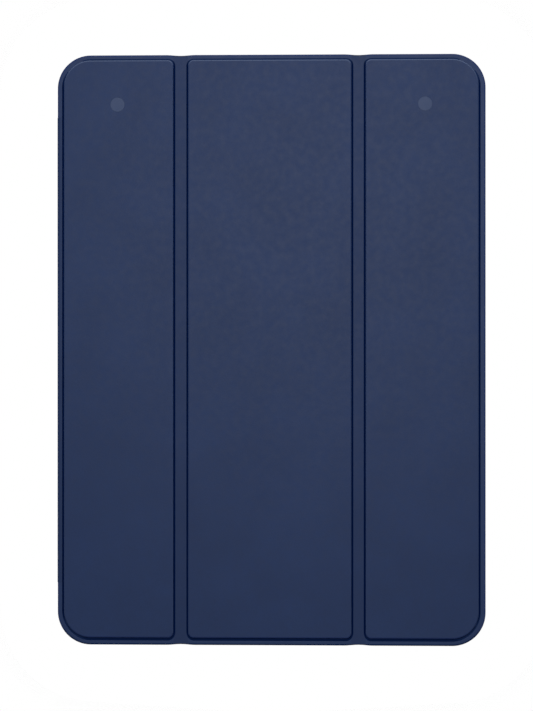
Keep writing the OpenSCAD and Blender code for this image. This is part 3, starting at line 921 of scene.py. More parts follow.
@dataclass
class Cover:
    """Three stiff panels in one moulded skin, joined by soft creases.

    The skin is drawn as one surface, and then cut into the pieces that move apart. The shares say how the
    lip of a pressed line and the bevel of a panel run, across and up. The fields that end in dark, shade,
    worn or highlight say how much painted shade or painted highlight the skin gets at a place, those in
    rise or turned how shallow the line is there, and those in play or slip are small gaps.
    """

    maker: Maker
    corner_r: float = 14.4
    board_inset: float = 0.9
    pocket_inset: float = 0.58
    pocket_play: float = 0.01
    inner_rings: Step = (0.02, 0.3)
    wall_play: float = 0.05
    spine_reach: float = 0.2
    shift: float = 0.3
    lower_trim: float = 0.2
    upper_reach: float = 0.7
    crease_corner_r: float = 2.4
    rolled_r: float = 0.6
    panel_edge_r: float = 0.22
    bevel: Step = (0.38, 0.14)
    bevel_shares: tuple[Step, ...] = ((0.3, 0.5), (0.4, 0.4), (0.3, 0.1))
    lip_shares: tuple[Step, ...] = ((0.3, 0.07), (0.3, 0.23), (0.4, 0.7))
    # Painted shade on the outer rolled edge, with its own share where the edge is seen at a panel's lower
    # end.
    edge_shade: float = 0.4
    lower_edge_shade: float = 0.35
    seen_low: float = 0.3
    # Painted highlight on a panel's bevel along its sides, more at its upper end, and painted shade on the
    # bevel at its lower end.
    painted_highlight: float = 0.16
    lit_highlight: float = 1.0
    lower_shade: float = 0.6
    # Share by which the painted shade in a line fades round the cover's round corners.
    turned_fade: float = 0.1
    turned_gain: float = 6.4
    lit_gain: float = 1.2
    lower_turned: float = 0.6
    upper_turned: float = 0.85
    spine_spread: float = 0.1
    lower_spread: float = 0.6
    upper_pinch: float = 0.1
    upper_rise: float = 0.88
    lower_rise: float = 0.42
    groove_w: float = 0.85
    groove_depth: float = 0.62
    groove_lip: float = 0.28
    hold: float = 0.12
    slip: float = 0.03
    play: float = 0.03
    line_reach: float = 0.04
    edge_band: float = 0.08
    level_play: float = 0.01
    bottom_play: float = 0.02
    notch: float = 0.35
    notch_half: float = 6.5
    crease_cuts: int = 9
    panel_cuts: tuple[float, ...] = (0.6, 1.3, 2.1, 3.1)
    disc_play: float = 0.02
    disc_r: float = 0.06
    lining_line: Step = (2.2, 0.2)
    lining_line_half: float = 0.5
    lining_r: float = 0.12
    lining_steps: tuple[float, float, float] = (1.4, 0.2, 0.25)
    lining_depth: float = 0.1

    def __post_init__(self) -> None:
        """Reads the cover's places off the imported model."""
        boards = [span(f"panel_{n}_board") for n in (1, 2, 3)]
        self.under_z = span("panel_2_lining")[0].z
        self.board_z0, self.rim_z = boards[1][0].z, boards[1][1].z
        self.panel_z = span("panel_2_skin")[1].z
        self.x0, self.x1 = span("panel_1_skin")[0].x, span("panel_3_skin")[1].x
        self.y = span("panel_2_skin")[1].y
        self.groove_z = self.rim_z - self.groove_depth
        inset, inner_r = self.board_inset, self.crease_corner_r
        outer_r = self.corner_r - (boards[0][0].x - inset - self.x0)
        radii = ((outer_r, inner_r), (inner_r, inner_r), (inner_r, outer_r))
        shifts = ((-self.spine_reach, self.shift), (self.shift, self.shift), (0.0, 0.0))
        self.panels = []
        for (low, high), (r0, r1), (left, right) in zip(boards, radii, shifts):
            p = Outline(low.x, high.x, low.y, high.y, r0 - inset, r1 - inset).grown(inset)
            y0, y1 = p.y0 + self.lower_trim, p.y1 + self.upper_reach
            self.panels.append(replace(p, x0=p.x0 + left, x1=p.x1 + right, y0=y0, y1=y1))
        self.edge = Outline(self.x0, self.x1, -self.y, self.y, self.corner_r, self.corner_r)
        self.bed = self.edge.grown(-self.rolled_r - self.hold)
        self.discs = {0: "left_magnet_disc", 2: "right_magnet_disc"}
        self.spine_half = span("cover_crease")[1].y + self.play

    def surface(self) -> BMesh:
        """Draws the skin's whole upper surface.

        Returns:
            The open surface, without its creases' notches.
        """
        bm = bmesh.new()
        wall = self.rim_z - self.rolled_r - self.board_z0
        rim = [(HAIR, wall), *quarter(self.rolled_r), (self.hold, 0)]
        plate = stepped(bm, self.edge.face(bm, self.board_z0, segments=24), rim)
        for n, panel in enumerate(self.panels):
            foot = panel.grown(self.groove_w + self.hold).face(bm, self.rim_z, segments=16)
            before = set(bm.verts) - set(foot.verts)
            face = stepped(bm, foot, self.panel_section())
            self.uneven(panel, set(bm.verts) - before)
            if n in self.discs:
                self.bore(bm, face, n)
        bmesh.ops.delete(bm, geom=[plate], context="FACES_ONLY")
        filled(bm, [e for e in bm.edges if e.is_boundary and abs(e.verts[0].co.z - self.rim_z) < HAIR])
        return bm

    def panel_section(self) -> list[Step]:
        """Steps from the rim through the pressed line and up over a panel's soft edge.

        Returns:
            How far in and how far up each step goes.
        """
        lip, depth = self.groove_lip, self.groove_depth
        wide, high = self.bevel
        edge = quarter(self.panel_edge_r, 4)[:-1] + [(wide * a, high * b) for a, b in self.bevel_shares]
        rise = self.panel_z - self.groove_z - sum(step[1] for step in edge)
        return [
            (self.hold, 0), *((lip * a, -depth * b) for a, b in self.lip_shares), (self.groove_w - lip, 0),
            (HAIR, rise), *edge, (self.pocket_inset - sum(step[0] for step in edge), 0),
            *((width, 0) for width in self.inner_rings),
        ]

    def uneven(self, panel: Outline, verts: Iterable[BMVert]) -> None:
        """Widens the pressed line below a panel's lower end, and makes it shallow at the upper end.

        Args:
            panel: the panel's outline.
            verts: the points of the line and the panel's edge.
        """
        wall = panel.grown(self.groove_w - self.groove_lip - self.wall_play)
        for v in verts:
            if not wall.holds(v.co):
                lean = panel.lean(v.co)
                v.co.y += lean * (self.lower_spread if lean < 0 else -self.upper_pinch)
                if v.co.x < self.panels[0].x0:
                    v.co.x -= self.spine_spread * math.sqrt(1 - lean**2)
            if v.co.z < self.rim_z:
                lit, low, turned = self.lie(panel, v.co)
                rise = self.upper_rise * lit + self.lower_rise * low
                rise += (1 - rise) * turned * (self.lower_turned if low > 0 else self.upper_turned)
                v.co.z += (self.rim_z - v.co.z) * rise

    def lie(self, panel: Outline, point: Vector) -> tuple[float, float, float]:
        """Says how a point lies round a panel.

        Args:
            panel: the panel's outline.
            point: the point.

        Returns:
            How far it lies round the panel's upper end, round its lower end, and into one of the cover's
            round corners, each from 0 to 1.
        """
        lean = panel.lean(point)
        turned = 0.0
        if panel.radius_at(point.x) >= self.corner_r / 2:
            turned = min(self.turned_gain * lean**2 * (1 - lean**2), 1.0)
        return min(max(lean, 0.0) * self.lit_gain, 1.0), max(-lean, 0.0), turned

    def bore(self, bm: BMesh, face: BMFace, n: int) -> None:
        """Opens a panel's face for its magnet disc.

        Args:
            bm: the surface.
            face: the panel's flat face.
            n: the panel's number, from 0.
        """
        ring = circle(bm, *span(self.discs[n]), self.panel_z, self.disc_play)
        edges = {e for v in ring for e in v.link_edges} | set(face.edges)
        bmesh.ops.delete(bm, geom=[face], context="FACES_ONLY")
        filled(bm, edges)

    def creased(self, bm: BMesh) -> None:
        """Cuts lines along both creases, so that they bend, and draws the edge in at their ends.

        Args:
            bm: the surface.
        """
        for left, right in zip(self.panels, self.panels[1:]):
            axis, half = (left.x1 + right.x0) / 2, (right.x0 - left.x1) / 2
            count = self.crease_cuts
            inner = [axis + half * i / count for i in range(1 - count, count)]
            outer = [axis + side * (half + d) for side in (-1, 1) for d in self.panel_cuts]
            for x in inner + outer:
                cut(bm, (x, 0, 0), (1, 0, 0))
            for v in bm.verts:
                near = 1 - abs(v.co.x - axis) / self.notch_half
                foot = (left.y1 if v.co.y > 0 else -left.y0) + self.groove_w
                out = (abs(v.co.y) - foot) / (self.y - foot)
                if near > 0 and out > 0:
                    pull = self.notch * math.sin(near * math.pi / 2) ** 2 * min(out, 1)
                    v.co.y -= math.copysign(pull, v.co.y)

    def share(self, whole: BMesh, x0: float | None, x1: float | None) -> BMesh:
        """Cuts one piece's share out of the whole surface.

        Args:
            whole: the surface.
            x0: where the share starts, or nothing for the outer edge.
            x1: where it ends.

        Returns:
            The share, still open below.
        """
        bm = whole.copy()
        for x, side in ((x0, -1), (x1, 1)):
            if x is not None:
                cut(bm, (x, 0, 0), (side, 0, 0), drop=True)
        return bm

    def paint_shade(self, piece: bpy.types.Object, number: int) -> None:
        """Marks the painted shade and painted highlight at each point of a piece, and gives its pressed
        lines the dark finish of a number, as painted shade.
        """
        marked(piece.data, "pressed", [self.shade_at(v.co / MM) for v in piece.data.vertices])
        self.shade_line_faces(piece, number)

    def shade_at(self, point: Vector) -> float:
        """Says how much painted shade the skin gets at a point; below nothing, the number is a painted
        highlight.

        Args:
            point: the point.

        Returns:
            One at the bottom of a pressed line, nothing on the flat, a share on the outer edge and on a
            panel's lower bevel, and less than nothing where a highlight is painted on a panel's bevel.
        """
        z, panel = point.z, self.panel_at(point.x)
        lit, low, turned = self.lie(panel, point)
        # Painted shade on the outer rolled edge.
        if not self.bed.holds(point):
            return self.edge_shade if low < self.seen_low else self.lower_edge_shade
        # Painted shade on a panel's lower bevel, and painted highlight on its sides and upper end.
        wall = self.rim_z + self.play if low > 0 else self.panel_z - self.bevel[1] - self.edge_band
        if wall < z < self.panel_z - self.level_play:
            return self.lower_shade * low - self.painted_highlight - (self.lit_highlight - self.painted_highlight) * lit
        # Painted shade in a pressed line, by its depth, faded round the cover's corners.
        depth = min(max((self.rim_z - z) / self.groove_depth, 0.0), 1.0)
        return depth * (1 - self.turned_fade * turned)

    def panel_at(self, x: float) -> Outline:
        """Finds the panel nearest to a place across the folds."""
        return min(self.panels, key=lambda p: abs(x - (p.x0 + p.x1) / 2) - (p.x1 - p.x0) / 2)

    def shade_line_faces(self, piece: bpy.types.Object, number: int) -> None:
        """Gives the faces in the pressed lines round the panels, and on the outer edge at their lower ends,
        another finish that is dark and without reflection, as painted shade.

        Args:
            piece: the piece.
            number: the finish's place among the piece's materials.
        """
        for f in piece.data.polygons:
            middle = f.center / MM
            if f.normal.z < -0.2 or middle.z < self.groove_z - self.bottom_play:
                continue
            if self.bed.holds(middle):
                chosen = middle.z < self.rim_z - self.line_reach
            else:
                panel = self.panel_at(middle.x)
                chosen = panel.x0 < middle.x < panel.x1 and panel.lean(middle) < -self.seen_low
            if chosen:
                f.material_index = number

    def build(self) -> None:
        """Makes the skins, creases, discs, linings and inner parts of the cover."""
        whole = self.surface()
        self.creased(whole)
        starts = [p.x0 - self.slip for p in self.panels]
        stops = [p.x1 + self.slip for p in self.panels]
        for n, (x0, x1) in enumerate(zip([None, *starts[1:]], [*stops[:-1], None])):
            self.build_panel(self.share(whole, x0, x1), n)
        for n, name in enumerate(("first_crease", "second_crease")):
            self.build_crease(self.share(whole, stops[n], starts[n + 1]), n, name)
        whole.free()
        self.build_discs()
        self.build_linings()
        for n in (1, 2, 3):
            self.maker.kept(f"panel_{n}_board", STIFFENER)
        self.maker.kept("keyboard_catch_magnets", MAGNET)
        self.maker.kept("closure_magnets", MAGNET)

    def build_panel(self, bm: BMesh, n: int) -> None:
        """Makes one panel's skin, with a pocket below for its board.

        Args:
            bm: the skin's open surface.
            n: the panel's number, from 0.
        """
        if n == 0:
            self.clear_spine(bm)
        pocket = self.panels[n].grown(-self.pocket_inset - self.pocket_play)
        backed(bm, lambda p: self.rim_z if pocket.holds(p) else self.board_z0)
        name = f"panel_{n + 1}_skin"
        piece = self.maker.piece(bm, name, "moulded", [SKIN, LINE_SHADE], f"panel_{n + 1}", crisp=SOFT)
        self.paint_shade(piece, 1)
        low, high = span(name)

    def clear_spine(self, bm: BMesh) -> None:
        """Takes the rim away where the spine's own strip comes round the edge.

        Args:
            bm: the first panel's surface.
        """
        end, half = span("cover_crease")[1].x + self.play, self.spine_half
        for y in (half, -half):
            cut(bm, (0, y, 0), (0, 1, 0))
        cut(bm, (end, 0, 0), (1, 0, 0))
        middles = [(f, f.calc_center_median()) for f in bm.faces]
        gone = [f for f, middle in middles if middle.x < end and abs(middle.y) < half]
        bmesh.ops.delete(bm, geom=gone, context="FACES")

    def build_crease(self, bm: BMesh, n: int, name: str) -> None:
        """Makes one soft crease, skin above and lining below.

        Args:
            bm: the crease's open surface.
            n: the number of the panel before it, from 0.
            name: the node that it stands for.
        """
        x0, x1 = self.panels[n].x1, self.panels[n + 1].x0
        axis = (x0 + x1) / 2
        place, depth = self.lining_line

        def under(p: Vector) -> float:
            """Height of the lining at a point: two pressed lines, one along each panel."""
            line = abs(abs(p.x - axis) - place)
            return self.under_z + depth * max(0.0, 1 - line / self.lining_line_half)

        backed(bm, under)
        for f in bm.faces:
            f.material_index = 1 if f.normal.z < -0.5 else 0
        piece = self.maker.piece(
            bm, name, "pressed", [WELT, LINING, LINE_SHADE], (f"panel_{n + 1}", f"panel_{n + 2}"),
            (Vector((x0, 0, self.board_z0)), Vector((x1, 0, self.board_z0))), crisp=SOFT,
        )
        self.paint_shade(piece, 2)

    def build_discs(self) -> None:
        """Makes the covers of the two magnets, flush with the panels."""
        for n, name in self.discs.items():
            low, high = span(name)
            bm = bmesh.new()
            face = circle(bm, low, high, low.z, cap=True)[0].link_faces[0]
            if face.normal.z < 0:
                face.normal_flip()
            wall = high.z - low.z - self.disc_r
            stepped(bm, face, [(HAIR, wall), *quarter(self.disc_r, 2), (0.2, 0)])
            closed(bm)
            self.maker.piece(bm, name, "cover", [MAGNET_COVER], f"panel_{n + 1}")

    def build_linings(self) -> None:
        """Makes the lining of each panel, with a line pressed along its edge."""
        for n in range(3):
            name = f"panel_{n + 1}_lining"
            low, high = span(name)
            r = self.corner_r - (self.y - high.y)
            radii = (r if n == 0 else 0.0, r if n == 2 else 0.0)
            bm = bmesh.new()
            face = Outline(low.x, high.x, low.y, high.y, *radii).face(bm, high.z, up=False, segments=20)
            wall, line = high.z - low.z - self.lining_r, pressed_steps(*self.lining_steps, self.lining_depth)
            stepped(bm, face, [(HAIR, wall), *quarter(self.lining_r, 2), *line])
            closed(bm)
            piece = self.maker.piece(bm, name, "brushed", [LINING], f"panel_{n + 1}", crisp=SOFT)
            shade_pressed_line(piece, low.z, self.lining_depth)


# ---------------------------------------------------------------- spine


@dataclass
class Spine:
    """Strip of skin that carries the cover: round the lower corner, up the spine and over its top."""

    maker: Maker
    cover: Cover
    bend_r: float = 1.2
    line_depth: float = 0.14
    # Painted shade in the strip's pressed lines.
    strip_line_shade: float = 0.6
    line_near: float = 0.15
    line_far: float = 0.5
    line_place: float = 0.1
    line_reach: float = 0.25
    outer_reach: float = 0.3
    foot_play: float = 0.1
    flat_end: float = 0.9
    rim: float = 0.3
    back_ends: Step = (2.2, 3.2)
    back_steps: tuple[float, float, float] = (1.1, 0.25, 0.25)
    back_line: float = 0.18
    back_r: float = 0.3
    lining_end: float = 0.8
    lining_r: float = 0.1

    def __post_init__(self) -> None:
        """Reads the strip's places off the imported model."""
        low, high = span("spine_skin")
        self.x, self.z0, self.z1 = low.x, low.z, high.z
        self.half, self.thick = high.y, high.x - low.x
        self.foot = self.cover.panels[0].x0 - self.cover.groove_w - self.cover.spine_spread

    def strip(self, section: Sequence[Step], half: float, thick: float, inwards: Vector) -> BMesh:
        """Draws a strip by moving a section along the folds, and gives it a thickness.

        Args:
            section: places across the folds and heights of the strip's outer face.
            half: half of the strip's length.
            thick: its thickness.
            inwards: a point that lies on its inner side.

        Returns:
            The strip.
        """
        bm = bmesh.new()
        verts = [bm.verts.new((x, -half, z)) for x, z in section]
        edges = [bm.edges.new(pair) for pair in zip(verts, verts[1:])]
        moved = points(bmesh.ops.extrude_edge_only(bm, edges=edges))
        bmesh.ops.translate(bm, vec=(0, 2 * half, 0), verts=moved)
        bmesh.ops.recalc_face_normals(bm, faces=list(bm.faces))
        first = max(bm.faces, key=lambda f: f.calc_area())
        if first.normal.dot(inwards - first.calc_center_median()) > 0:
            bmesh.ops.reverse_faces(bm, faces=list(bm.faces))
        bmesh.ops.solidify(bm, geom=list(bm.faces), thickness=thick)
        outwards(bm)
        return bm

    def arc(self, x: float, z: float, start: float) -> list[Step]:
        """Gives the points of a quarter round about a centre, from an angle in degrees from +X up."""
        turns = [math.radians(start + 90 * i / 8) for i in range(9)]
        return [(x + self.bend_r * math.cos(a), z + self.bend_r * math.sin(a)) for a in turns]

    def line(self, z: float, side: int) -> list[Step]:
        """Gives the half of a pressed line that lies above or below a height, from the height outwards."""
        deep = self.x + self.line_depth
        return [(deep, z), (deep, z + side * self.line_near), (self.x, z + side * self.line_far)]

    def build(self) -> None:
        """Makes the strip's three parts, the glued back strip, and the spine's board and lining."""
        self.build_cover_crease()
        self.build_spine_skin()
        self.build_back_crease()
        self.build_back_skin()
        self.maker.kept("spine_board", STIFFENER)
        self.build_lining()

    def build_cover_crease(self) -> None:
        """Makes the strip's upper corner, which ends in the pressed line at the first panel."""
        cover, foot = self.cover, self.foot
        top, bottom, lip, depth = cover.rim_z, cover.groove_z, cover.groove_lip, cover.groove_depth
        section = [
            (span("cover_crease")[1].x, bottom), (foot + lip, bottom), (foot + lip * 0.6, top - depth * 0.3),
            (foot + lip * 0.3, top - depth * 0.07), (foot, top), (foot - self.rim, top),
            *self.arc(self.x + self.bend_r, top - self.bend_r, 90),
            *self.line(self.z1, 1)[::-1],
        ]
        inner = Vector((self.x + 4, 0, self.z1 - 2))
        bm = self.strip(section, self.half, self.thick, inner)
        for f in bm.faces:
            f.material_index = 1 if f.normal.dot(inner - f.calc_center_median()) > 0.4 else 0
        ends = Vector((self.x, 0, self.z1 + self.line_far)), Vector((foot - self.rim, 0, top))
        piece = self.maker.piece(
            bm, "cover_crease", "turned", [WELT, LINING, LINE_SHADE], ("spine", "panel_1"), ends, crisp=SOFT
        )
        self.shade_strip_lines(piece, [self.z1 + self.line_place])
        cover.shade_line_faces(piece, 2)

    def shade_strip_lines(self, piece: bpy.types.Object, levels: Sequence[float]) -> None:
        """Marks painted shade in the pressed lines of a strip, and in the line at the first panel.

        Args:
            piece: the strip.
            levels: the lines' heights.
        """
        cover = self.cover
        values = []
        for v in piece.data.vertices:
            x, _, z = v.co / MM
            near_groove = x > self.foot + self.foot_play and z > cover.board_z0
            deep = (cover.rim_z - z) / cover.groove_depth if near_groove else 0.0
            on_line = x < self.x + self.outer_reach and any(abs(z - at) < self.line_reach for at in levels)
            values.append(min(max(deep, self.strip_line_shade if on_line else 0.0), 1.0))
        marked(piece.data, "pressed", values)

    def build_spine_skin(self) -> None:
        """Makes the flat of the spine, with a line pressed along each of its long edges."""
        z0, z1 = self.z0, self.z1
        middle = (z0 + z1) / 2
        flat = [(self.x, z) for z in (z1 - self.flat_end, middle, z0 + self.flat_end)]
        section = [*self.line(z1, -1), *flat, *self.line(z0, 1)[::-1]]
        bm = self.strip(section, self.half, self.thick, Vector((0, 0, middle)))
        piece = self.maker.piece(bm, "spine_skin", "moulded", [SKIN], "spine", crisp=SOFT)
        self.shade_strip_lines(piece, [z1 - self.line_place, z0 + self.line_place])

    def build_back_crease(self) -> None:
        """Makes the strip's lower corner, between the spine and the glued strip."""
        first, second = (self.x + end for end in self.back_ends)
        section = [
            *self.line(self.z0, -1), *self.arc(self.x + self.bend_r, self.bend_r, 180), (first, 0.0),
            (second, 0.0), (span("back_crease")[1].x, 0.0),
        ]
        bm = self.strip(section, self.half, self.thick, Vector((self.x + 4, 0, 3)))
        for f in bm.faces:
            f.material_index = 1 if f.normal.dot(Vector((0.7, 0, 0.7))) > 0.5 else 0
        ends = Vector((first, 0, 0)), Vector((self.x, 0, 1.6))
        piece = self.maker.piece(
            bm, "back_crease", "turned", [WELT, LINING], ("back_shell", "spine"), ends, crisp=SOFT
        )
        self.shade_strip_lines(piece, [self.z0 - self.line_place])

    def build_back_skin(self) -> None:
        """Makes the strip that is glued to the tray's back, with a line pressed round it."""
        low, high = span("back_skin")
        bm = bmesh.new()
        face = Outline(low.x, high.x, low.y, high.y, 0, 0).face(bm, high.z, up=False)
        wall, line = high.z - low.z - self.back_r, pressed_steps(*self.back_steps, self.back_line)
        stepped(bm, face, [(HAIR, wall), *quarter(self.back_r, 4), *line])
        closed(bm)
        piece = self.maker.piece(bm, "back_skin", "moulded", [SKIN], "back_shell", crisp=SOFT)
        shade_pressed_line(piece, low.z, self.back_line)

    def build_lining(self) -> None:
        """Makes the lining on the inner side of the spine."""
        low, high = span("spine_lining")
        heights = (low.z, low.z + self.lining_end, high.z - self.lining_end, high.z)
        inner = Vector((low.x - 5, 0, (low.z + high.z) / 2))
        bm = self.strip([(high.x, z) for z in heights], high.y, high.x - low.x, inner)
        rounded(bm, [e for e in bm.edges if e.calc_face_angle(0.0) > 1.0], self.lining_r, 2)
        piece = self.maker.piece(bm, "spine_lining", "brushed", [LINING], "spine")
        marked(piece.data, "pressed", [0.0] * len(piece.data.vertices))


# ---------------------------------------------------------------- tray


@dataclass
class Tray:
    """Hard back with a soft bumper moulded round it, lined inside."""

    maker: Maker
    window_inset: float = 1.2
    window_r: float = 7.0
    bay_r: float = 12.5
    line_steps: tuple[float, float, float] = (2.2, 0.25, 0.3)
    line_depth: float = 0.12

    def build(self) -> None:
        """Makes the tray's pieces."""
        self.maker.eased("back_shell", "back_shell", TRAY_BACK, 0.12, 3)
        self.maker.eased("bumper_frame", "back_shell", BUMPER, 0.22, 3)
        self.maker.eased("camera_ring", "back_shell", CAMERA_TRIM, 0.22, 3)
        self.build_lining()
        for node in ("volume_up_button", "volume_down_button", "power_button_cover"):
            self.maker.eased(node, node.removesuffix("_cover"), BUTTON, 0.35, 4)

    def build_lining(self) -> None:
        """Makes the bay's lining, with a line pressed along its edge and a window for the camera."""
        low, high = span("tray_lining")
        ring = span("camera_ring")
        middle, half = (ring[0] + ring[1]) / 2, (ring[1].x - ring[0].x) / 2 - self.window_inset
        bm = bmesh.new()
        face = Outline(low.x, high.x, low.y, high.y, self.bay_r, self.bay_r).face(bm, low.z, segments=16)
        line = pressed_steps(*self.line_steps, self.line_depth)
        face = stepped(bm, face, [(HAIR, high.z - low.z), *line])
        sides = (middle.x - half, middle.x + half, middle.y - half, middle.y + half)
        hole = Outline(*sides, self.window_r, self.window_r).face(bm, high.z, segments=10)
        edges = list(face.edges) + list(hole.edges)
        bmesh.ops.delete(bm, geom=[face, hole], context="FACES_ONLY")
        filled(bm, [e for e in edges if e.is_valid])
        rim = [e for e in bm.edges if e.is_boundary and abs(e.verts[0].co.z - high.z) < MERGE]
        for v in points(bmesh.ops.extrude_edge_only(bm, edges=rim)):
            v.co.z = low.z
        filled(bm, [e for e in bm.edges if e.is_boundary], up=False)
        outwards(bm)
        piece = self.maker.piece(bm, "tray_lining", "brushed", [LINING], "back_shell", crisp=SOFT)
        shade_pressed_line(piece, high.z, self.line_depth)


# ---------------------------------------------------------------- keyboard


class Row(Enum):
    """The keys' groups, each with its legends from left to right."""

    FUNCTION_KEYS = ("esc", "F1", "F2", "F3", "F4", "F5", "F6", "F7", "F8", "F9", "F10", "F11", "F12", "del")
    NUMBER_KEYS = tuple("`1234567890-=")
    BACKSPACE_KEY = ("back",)
    TAB_KEY = ("tab",)
    UPPER_LETTER_KEYS = tuple("QWERTYUIOP[]\\")
    CAPS_LOCK_KEY = ("caps",)
    HOME_LETTER_KEYS = tuple("ASDFGHJKL;'")
    ENTER_KEY = ("enter",)
    LEFT_SHIFT_KEY = ("shift",)
    LOWER_LETTER_KEYS = tuple("ZXCVBNM,./")
    RIGHT_SHIFT_KEY = ("shift ",)  # the space makes it a member of its own
    MODIFIER_KEYS = ("fn", "ctrl", "alt", "cmd", "cmd", "alt")
    SPACE_BAR = ("",)
    LEFT_ARROW_KEY = ("<",)
    RIGHT_ARROW_KEY = (">",)
    UP_ARROW_KEY = ("^",)
    DOWN_ARROW_KEY = ("v",)


ARROWS = {"<": 90.0, ">": -90.0, "^": 0.0, "v": 180.0}


@dataclass
class Keyboard:
    """Slim wireless keyboard that hangs keys down from the cover's middle panel."""

    maker: Maker
    key_r: float = 1.2
    top_r: float = 0.35
    side_slope: float = 0.06
    top_ring: float = 0.12
    dish: float = 0.1
    dish_steps: tuple[Step, ...] = ((0.93, 0.4), (0.92, 0.35), (0.9, 0.25))
    letter_mm: float = 4.6
    word_mm: float = 2.9
    arrow_r: float = 1.15
    tapes: Step = (-0.3, 0.3)
    ink: float = 0.03
    ink_proud: float = 0.012
    legend_share: float = 0.62
    chips: tuple[Step, ...] = ((-0.38, 0.06), (-0.2, 0.1), (0.02, 0.14), (0.25, 0.06), (0.4, 0.04))
    block_r: float = 0.06

    def cap(self, low: Vector, high: Vector) -> bpy.types.Mesh:
        """Draws one keycap with a soft top edge and a shallow dish.

        Args:
            low: the cap's lowest corner.
            high: the cap's highest corner.

        Returns:
            The cap's mesh.
        """
        bm = bmesh.new()
        outline = Outline(low.x, high.x, low.y, high.y, self.key_r, self.key_r)
        face = outline.face(bm, high.z, up=False, segments=5)
        wall = high.z - low.z - self.top_r
        face = stepped(bm, face, [(self.side_slope, wall), *quarter(self.top_r, 3), (self.top_ring, 0)])
        middle = (low + high) / 2
        space = Matrix.Translation((-middle.x, -middle.y, 0))
        for share, depth in self.dish_steps:
            stepped(bm, face, [(HAIR, 0)])
            verts = list(face.verts)
            bmesh.ops.scale(bm, vec=(share, share, 1), verts=verts, space=space)
            bmesh.ops.translate(bm, vec=(0, 0, self.dish * depth), verts=verts)
        closed(bm)
        return kept_mesh(bm, "cap")

    def legend(self, text: str, middle: Vector, room: float) -> bpy.types.Mesh:
        """Draws a legend as a thin layer of ink, in the second material.

        Args:
            text: the legend.
            middle: the middle of the key's dish.
            room: how wide the legend may be.

        Returns:
            The legend's mesh.
        """
        bm = bmesh.new()
        if text in ARROWS:
            bmesh.ops.create_circle(bm, cap_ends=True, radius=self.arrow_r, segments=3)
            spin = Matrix.Rotation(math.radians(ARROWS[text]), 3, "Z")
            bmesh.ops.rotate(bm, verts=list(bm.verts), cent=(0, 0, 0), matrix=spin)
        else:
            curve = bpy.data.curves.new("legend", "FONT")
            curve.body = text
            curve.size = self.letter_mm if len(text) == 1 else self.word_mm
            curve.align_x, curve.align_y = "CENTER", "CENTER"
            curve.resolution_u = 2
            flat = bpy.data.objects.new("legend", curve)
            joined(bm, bpy.data.meshes.new_from_object(flat))
            bpy.data.objects.remove(flat)
            bpy.data.curves.remove(curve)
        bmesh.ops.remove_doubles(bm, verts=list(bm.verts), dist=HAIR)
        wide = max(v.co.x for v in bm.verts) * 2
        if wide > room:
            bmesh.ops.scale(bm, vec=(room / wide, room / wide, 1), verts=list(bm.verts))
        sunk = points(bmesh.ops.extrude_face_region(bm, geom=list(bm.faces), use_keep_orig=True))
        bmesh.ops.translate(bm, vec=(0, 0, -self.ink), verts=sunk)
        outwards(bm)
        turn = Matrix(((0, -1, 0), (-1, 0, 0), (0, 0, -1)))
        bmesh.ops.transform(bm, matrix=Matrix.Translation(middle) @ turn.to_4x4(), verts=list(bm.verts))
        for f in bm.faces:
            f.material_index = 1
        return kept_mesh(bm, "legend")

    def build_keys(self) -> None:
        """Makes every key group with its legends."""
        for row in Row:
            node = row.name.lower()
            source = copied(node)
            boxes = sorted(islands(source), key=lambda b: -b[0].y)
            source.free()
            bm = bmesh.new()
            for low, high in boxes:
                joined(bm, self.cap(low, high))
            for (low, high), text in zip(boxes, row.value):
                if text:
                    level = low.z + self.dish - self.ink_proud
                    place = Vector(((low.x + high.x) / 2, (low.y + high.y) / 2, level))
                    joined(bm, self.legend(text.strip(), place, self.legend_share * (high.y - low.y)))
            self.maker.piece(bm, node, "dished", [KEYCAP, LEGEND], node)

    def build_inside(self) -> None:
        """Makes the parts inside the keyboard's case."""
        self.maker.eased("battery", "keyboard", POUCH, 0.5, 3, self.add_tape, [TAPE])
        self.maker.eased("control_board", "keyboard", CIRCUIT_BOARD, 0.08, 3, self.add_chips, [CHIP])
        self.maker.kept("key_support_plate", STEEL)
        self.maker.kept("membrane", CIRCUIT_FILM)
        self.maker.kept("key_domes", DOME)
        self.maker.kept("keyboard_magnets", MAGNET)

    def add_tape(self, bm: BMesh) -> None:
        """Adds two bands of tape round the battery pouch."""
        for y in self.tapes:
            self.add_block(bm, "battery", y, (1.004, 0.05, 1.03))

    def add_chips(self, bm: BMesh) -> None:
        """Adds the chips of the control board."""
        for y, wide in self.chips:
            self.add_block(bm, "control_board", y, (0.5, wide, 1.6))

    def add_block(self, bm: BMesh, node: str, y: float, share: Sequence[float]) -> None:
        """Adds a small block with eased edges, in the second material, measured in shares of a node's box.

        Args:
            bm: the mesh that gets it.
            node: the node that it sits on.
            y: its middle along the folds, from -0.5 to 0.5.
            share: its size along each axis.
        """
        low, high = span(node)
        size = high - low
        verts = bmesh.ops.create_cube(bm, size=1)["verts"]
        bmesh.ops.scale(bm, vec=Vector([s * n for s, n in zip(share, size)]), verts=verts)
        bmesh.ops.translate(bm, vec=(low + high) / 2 + Vector((0, y * size.y, 0)), verts=verts)
        for f in {f for v in verts for f in v.link_faces}:
            f.material_index = 1
        rounded(bm, {e for v in verts for e in v.link_edges}, self.block_r, 2, clamp=True)

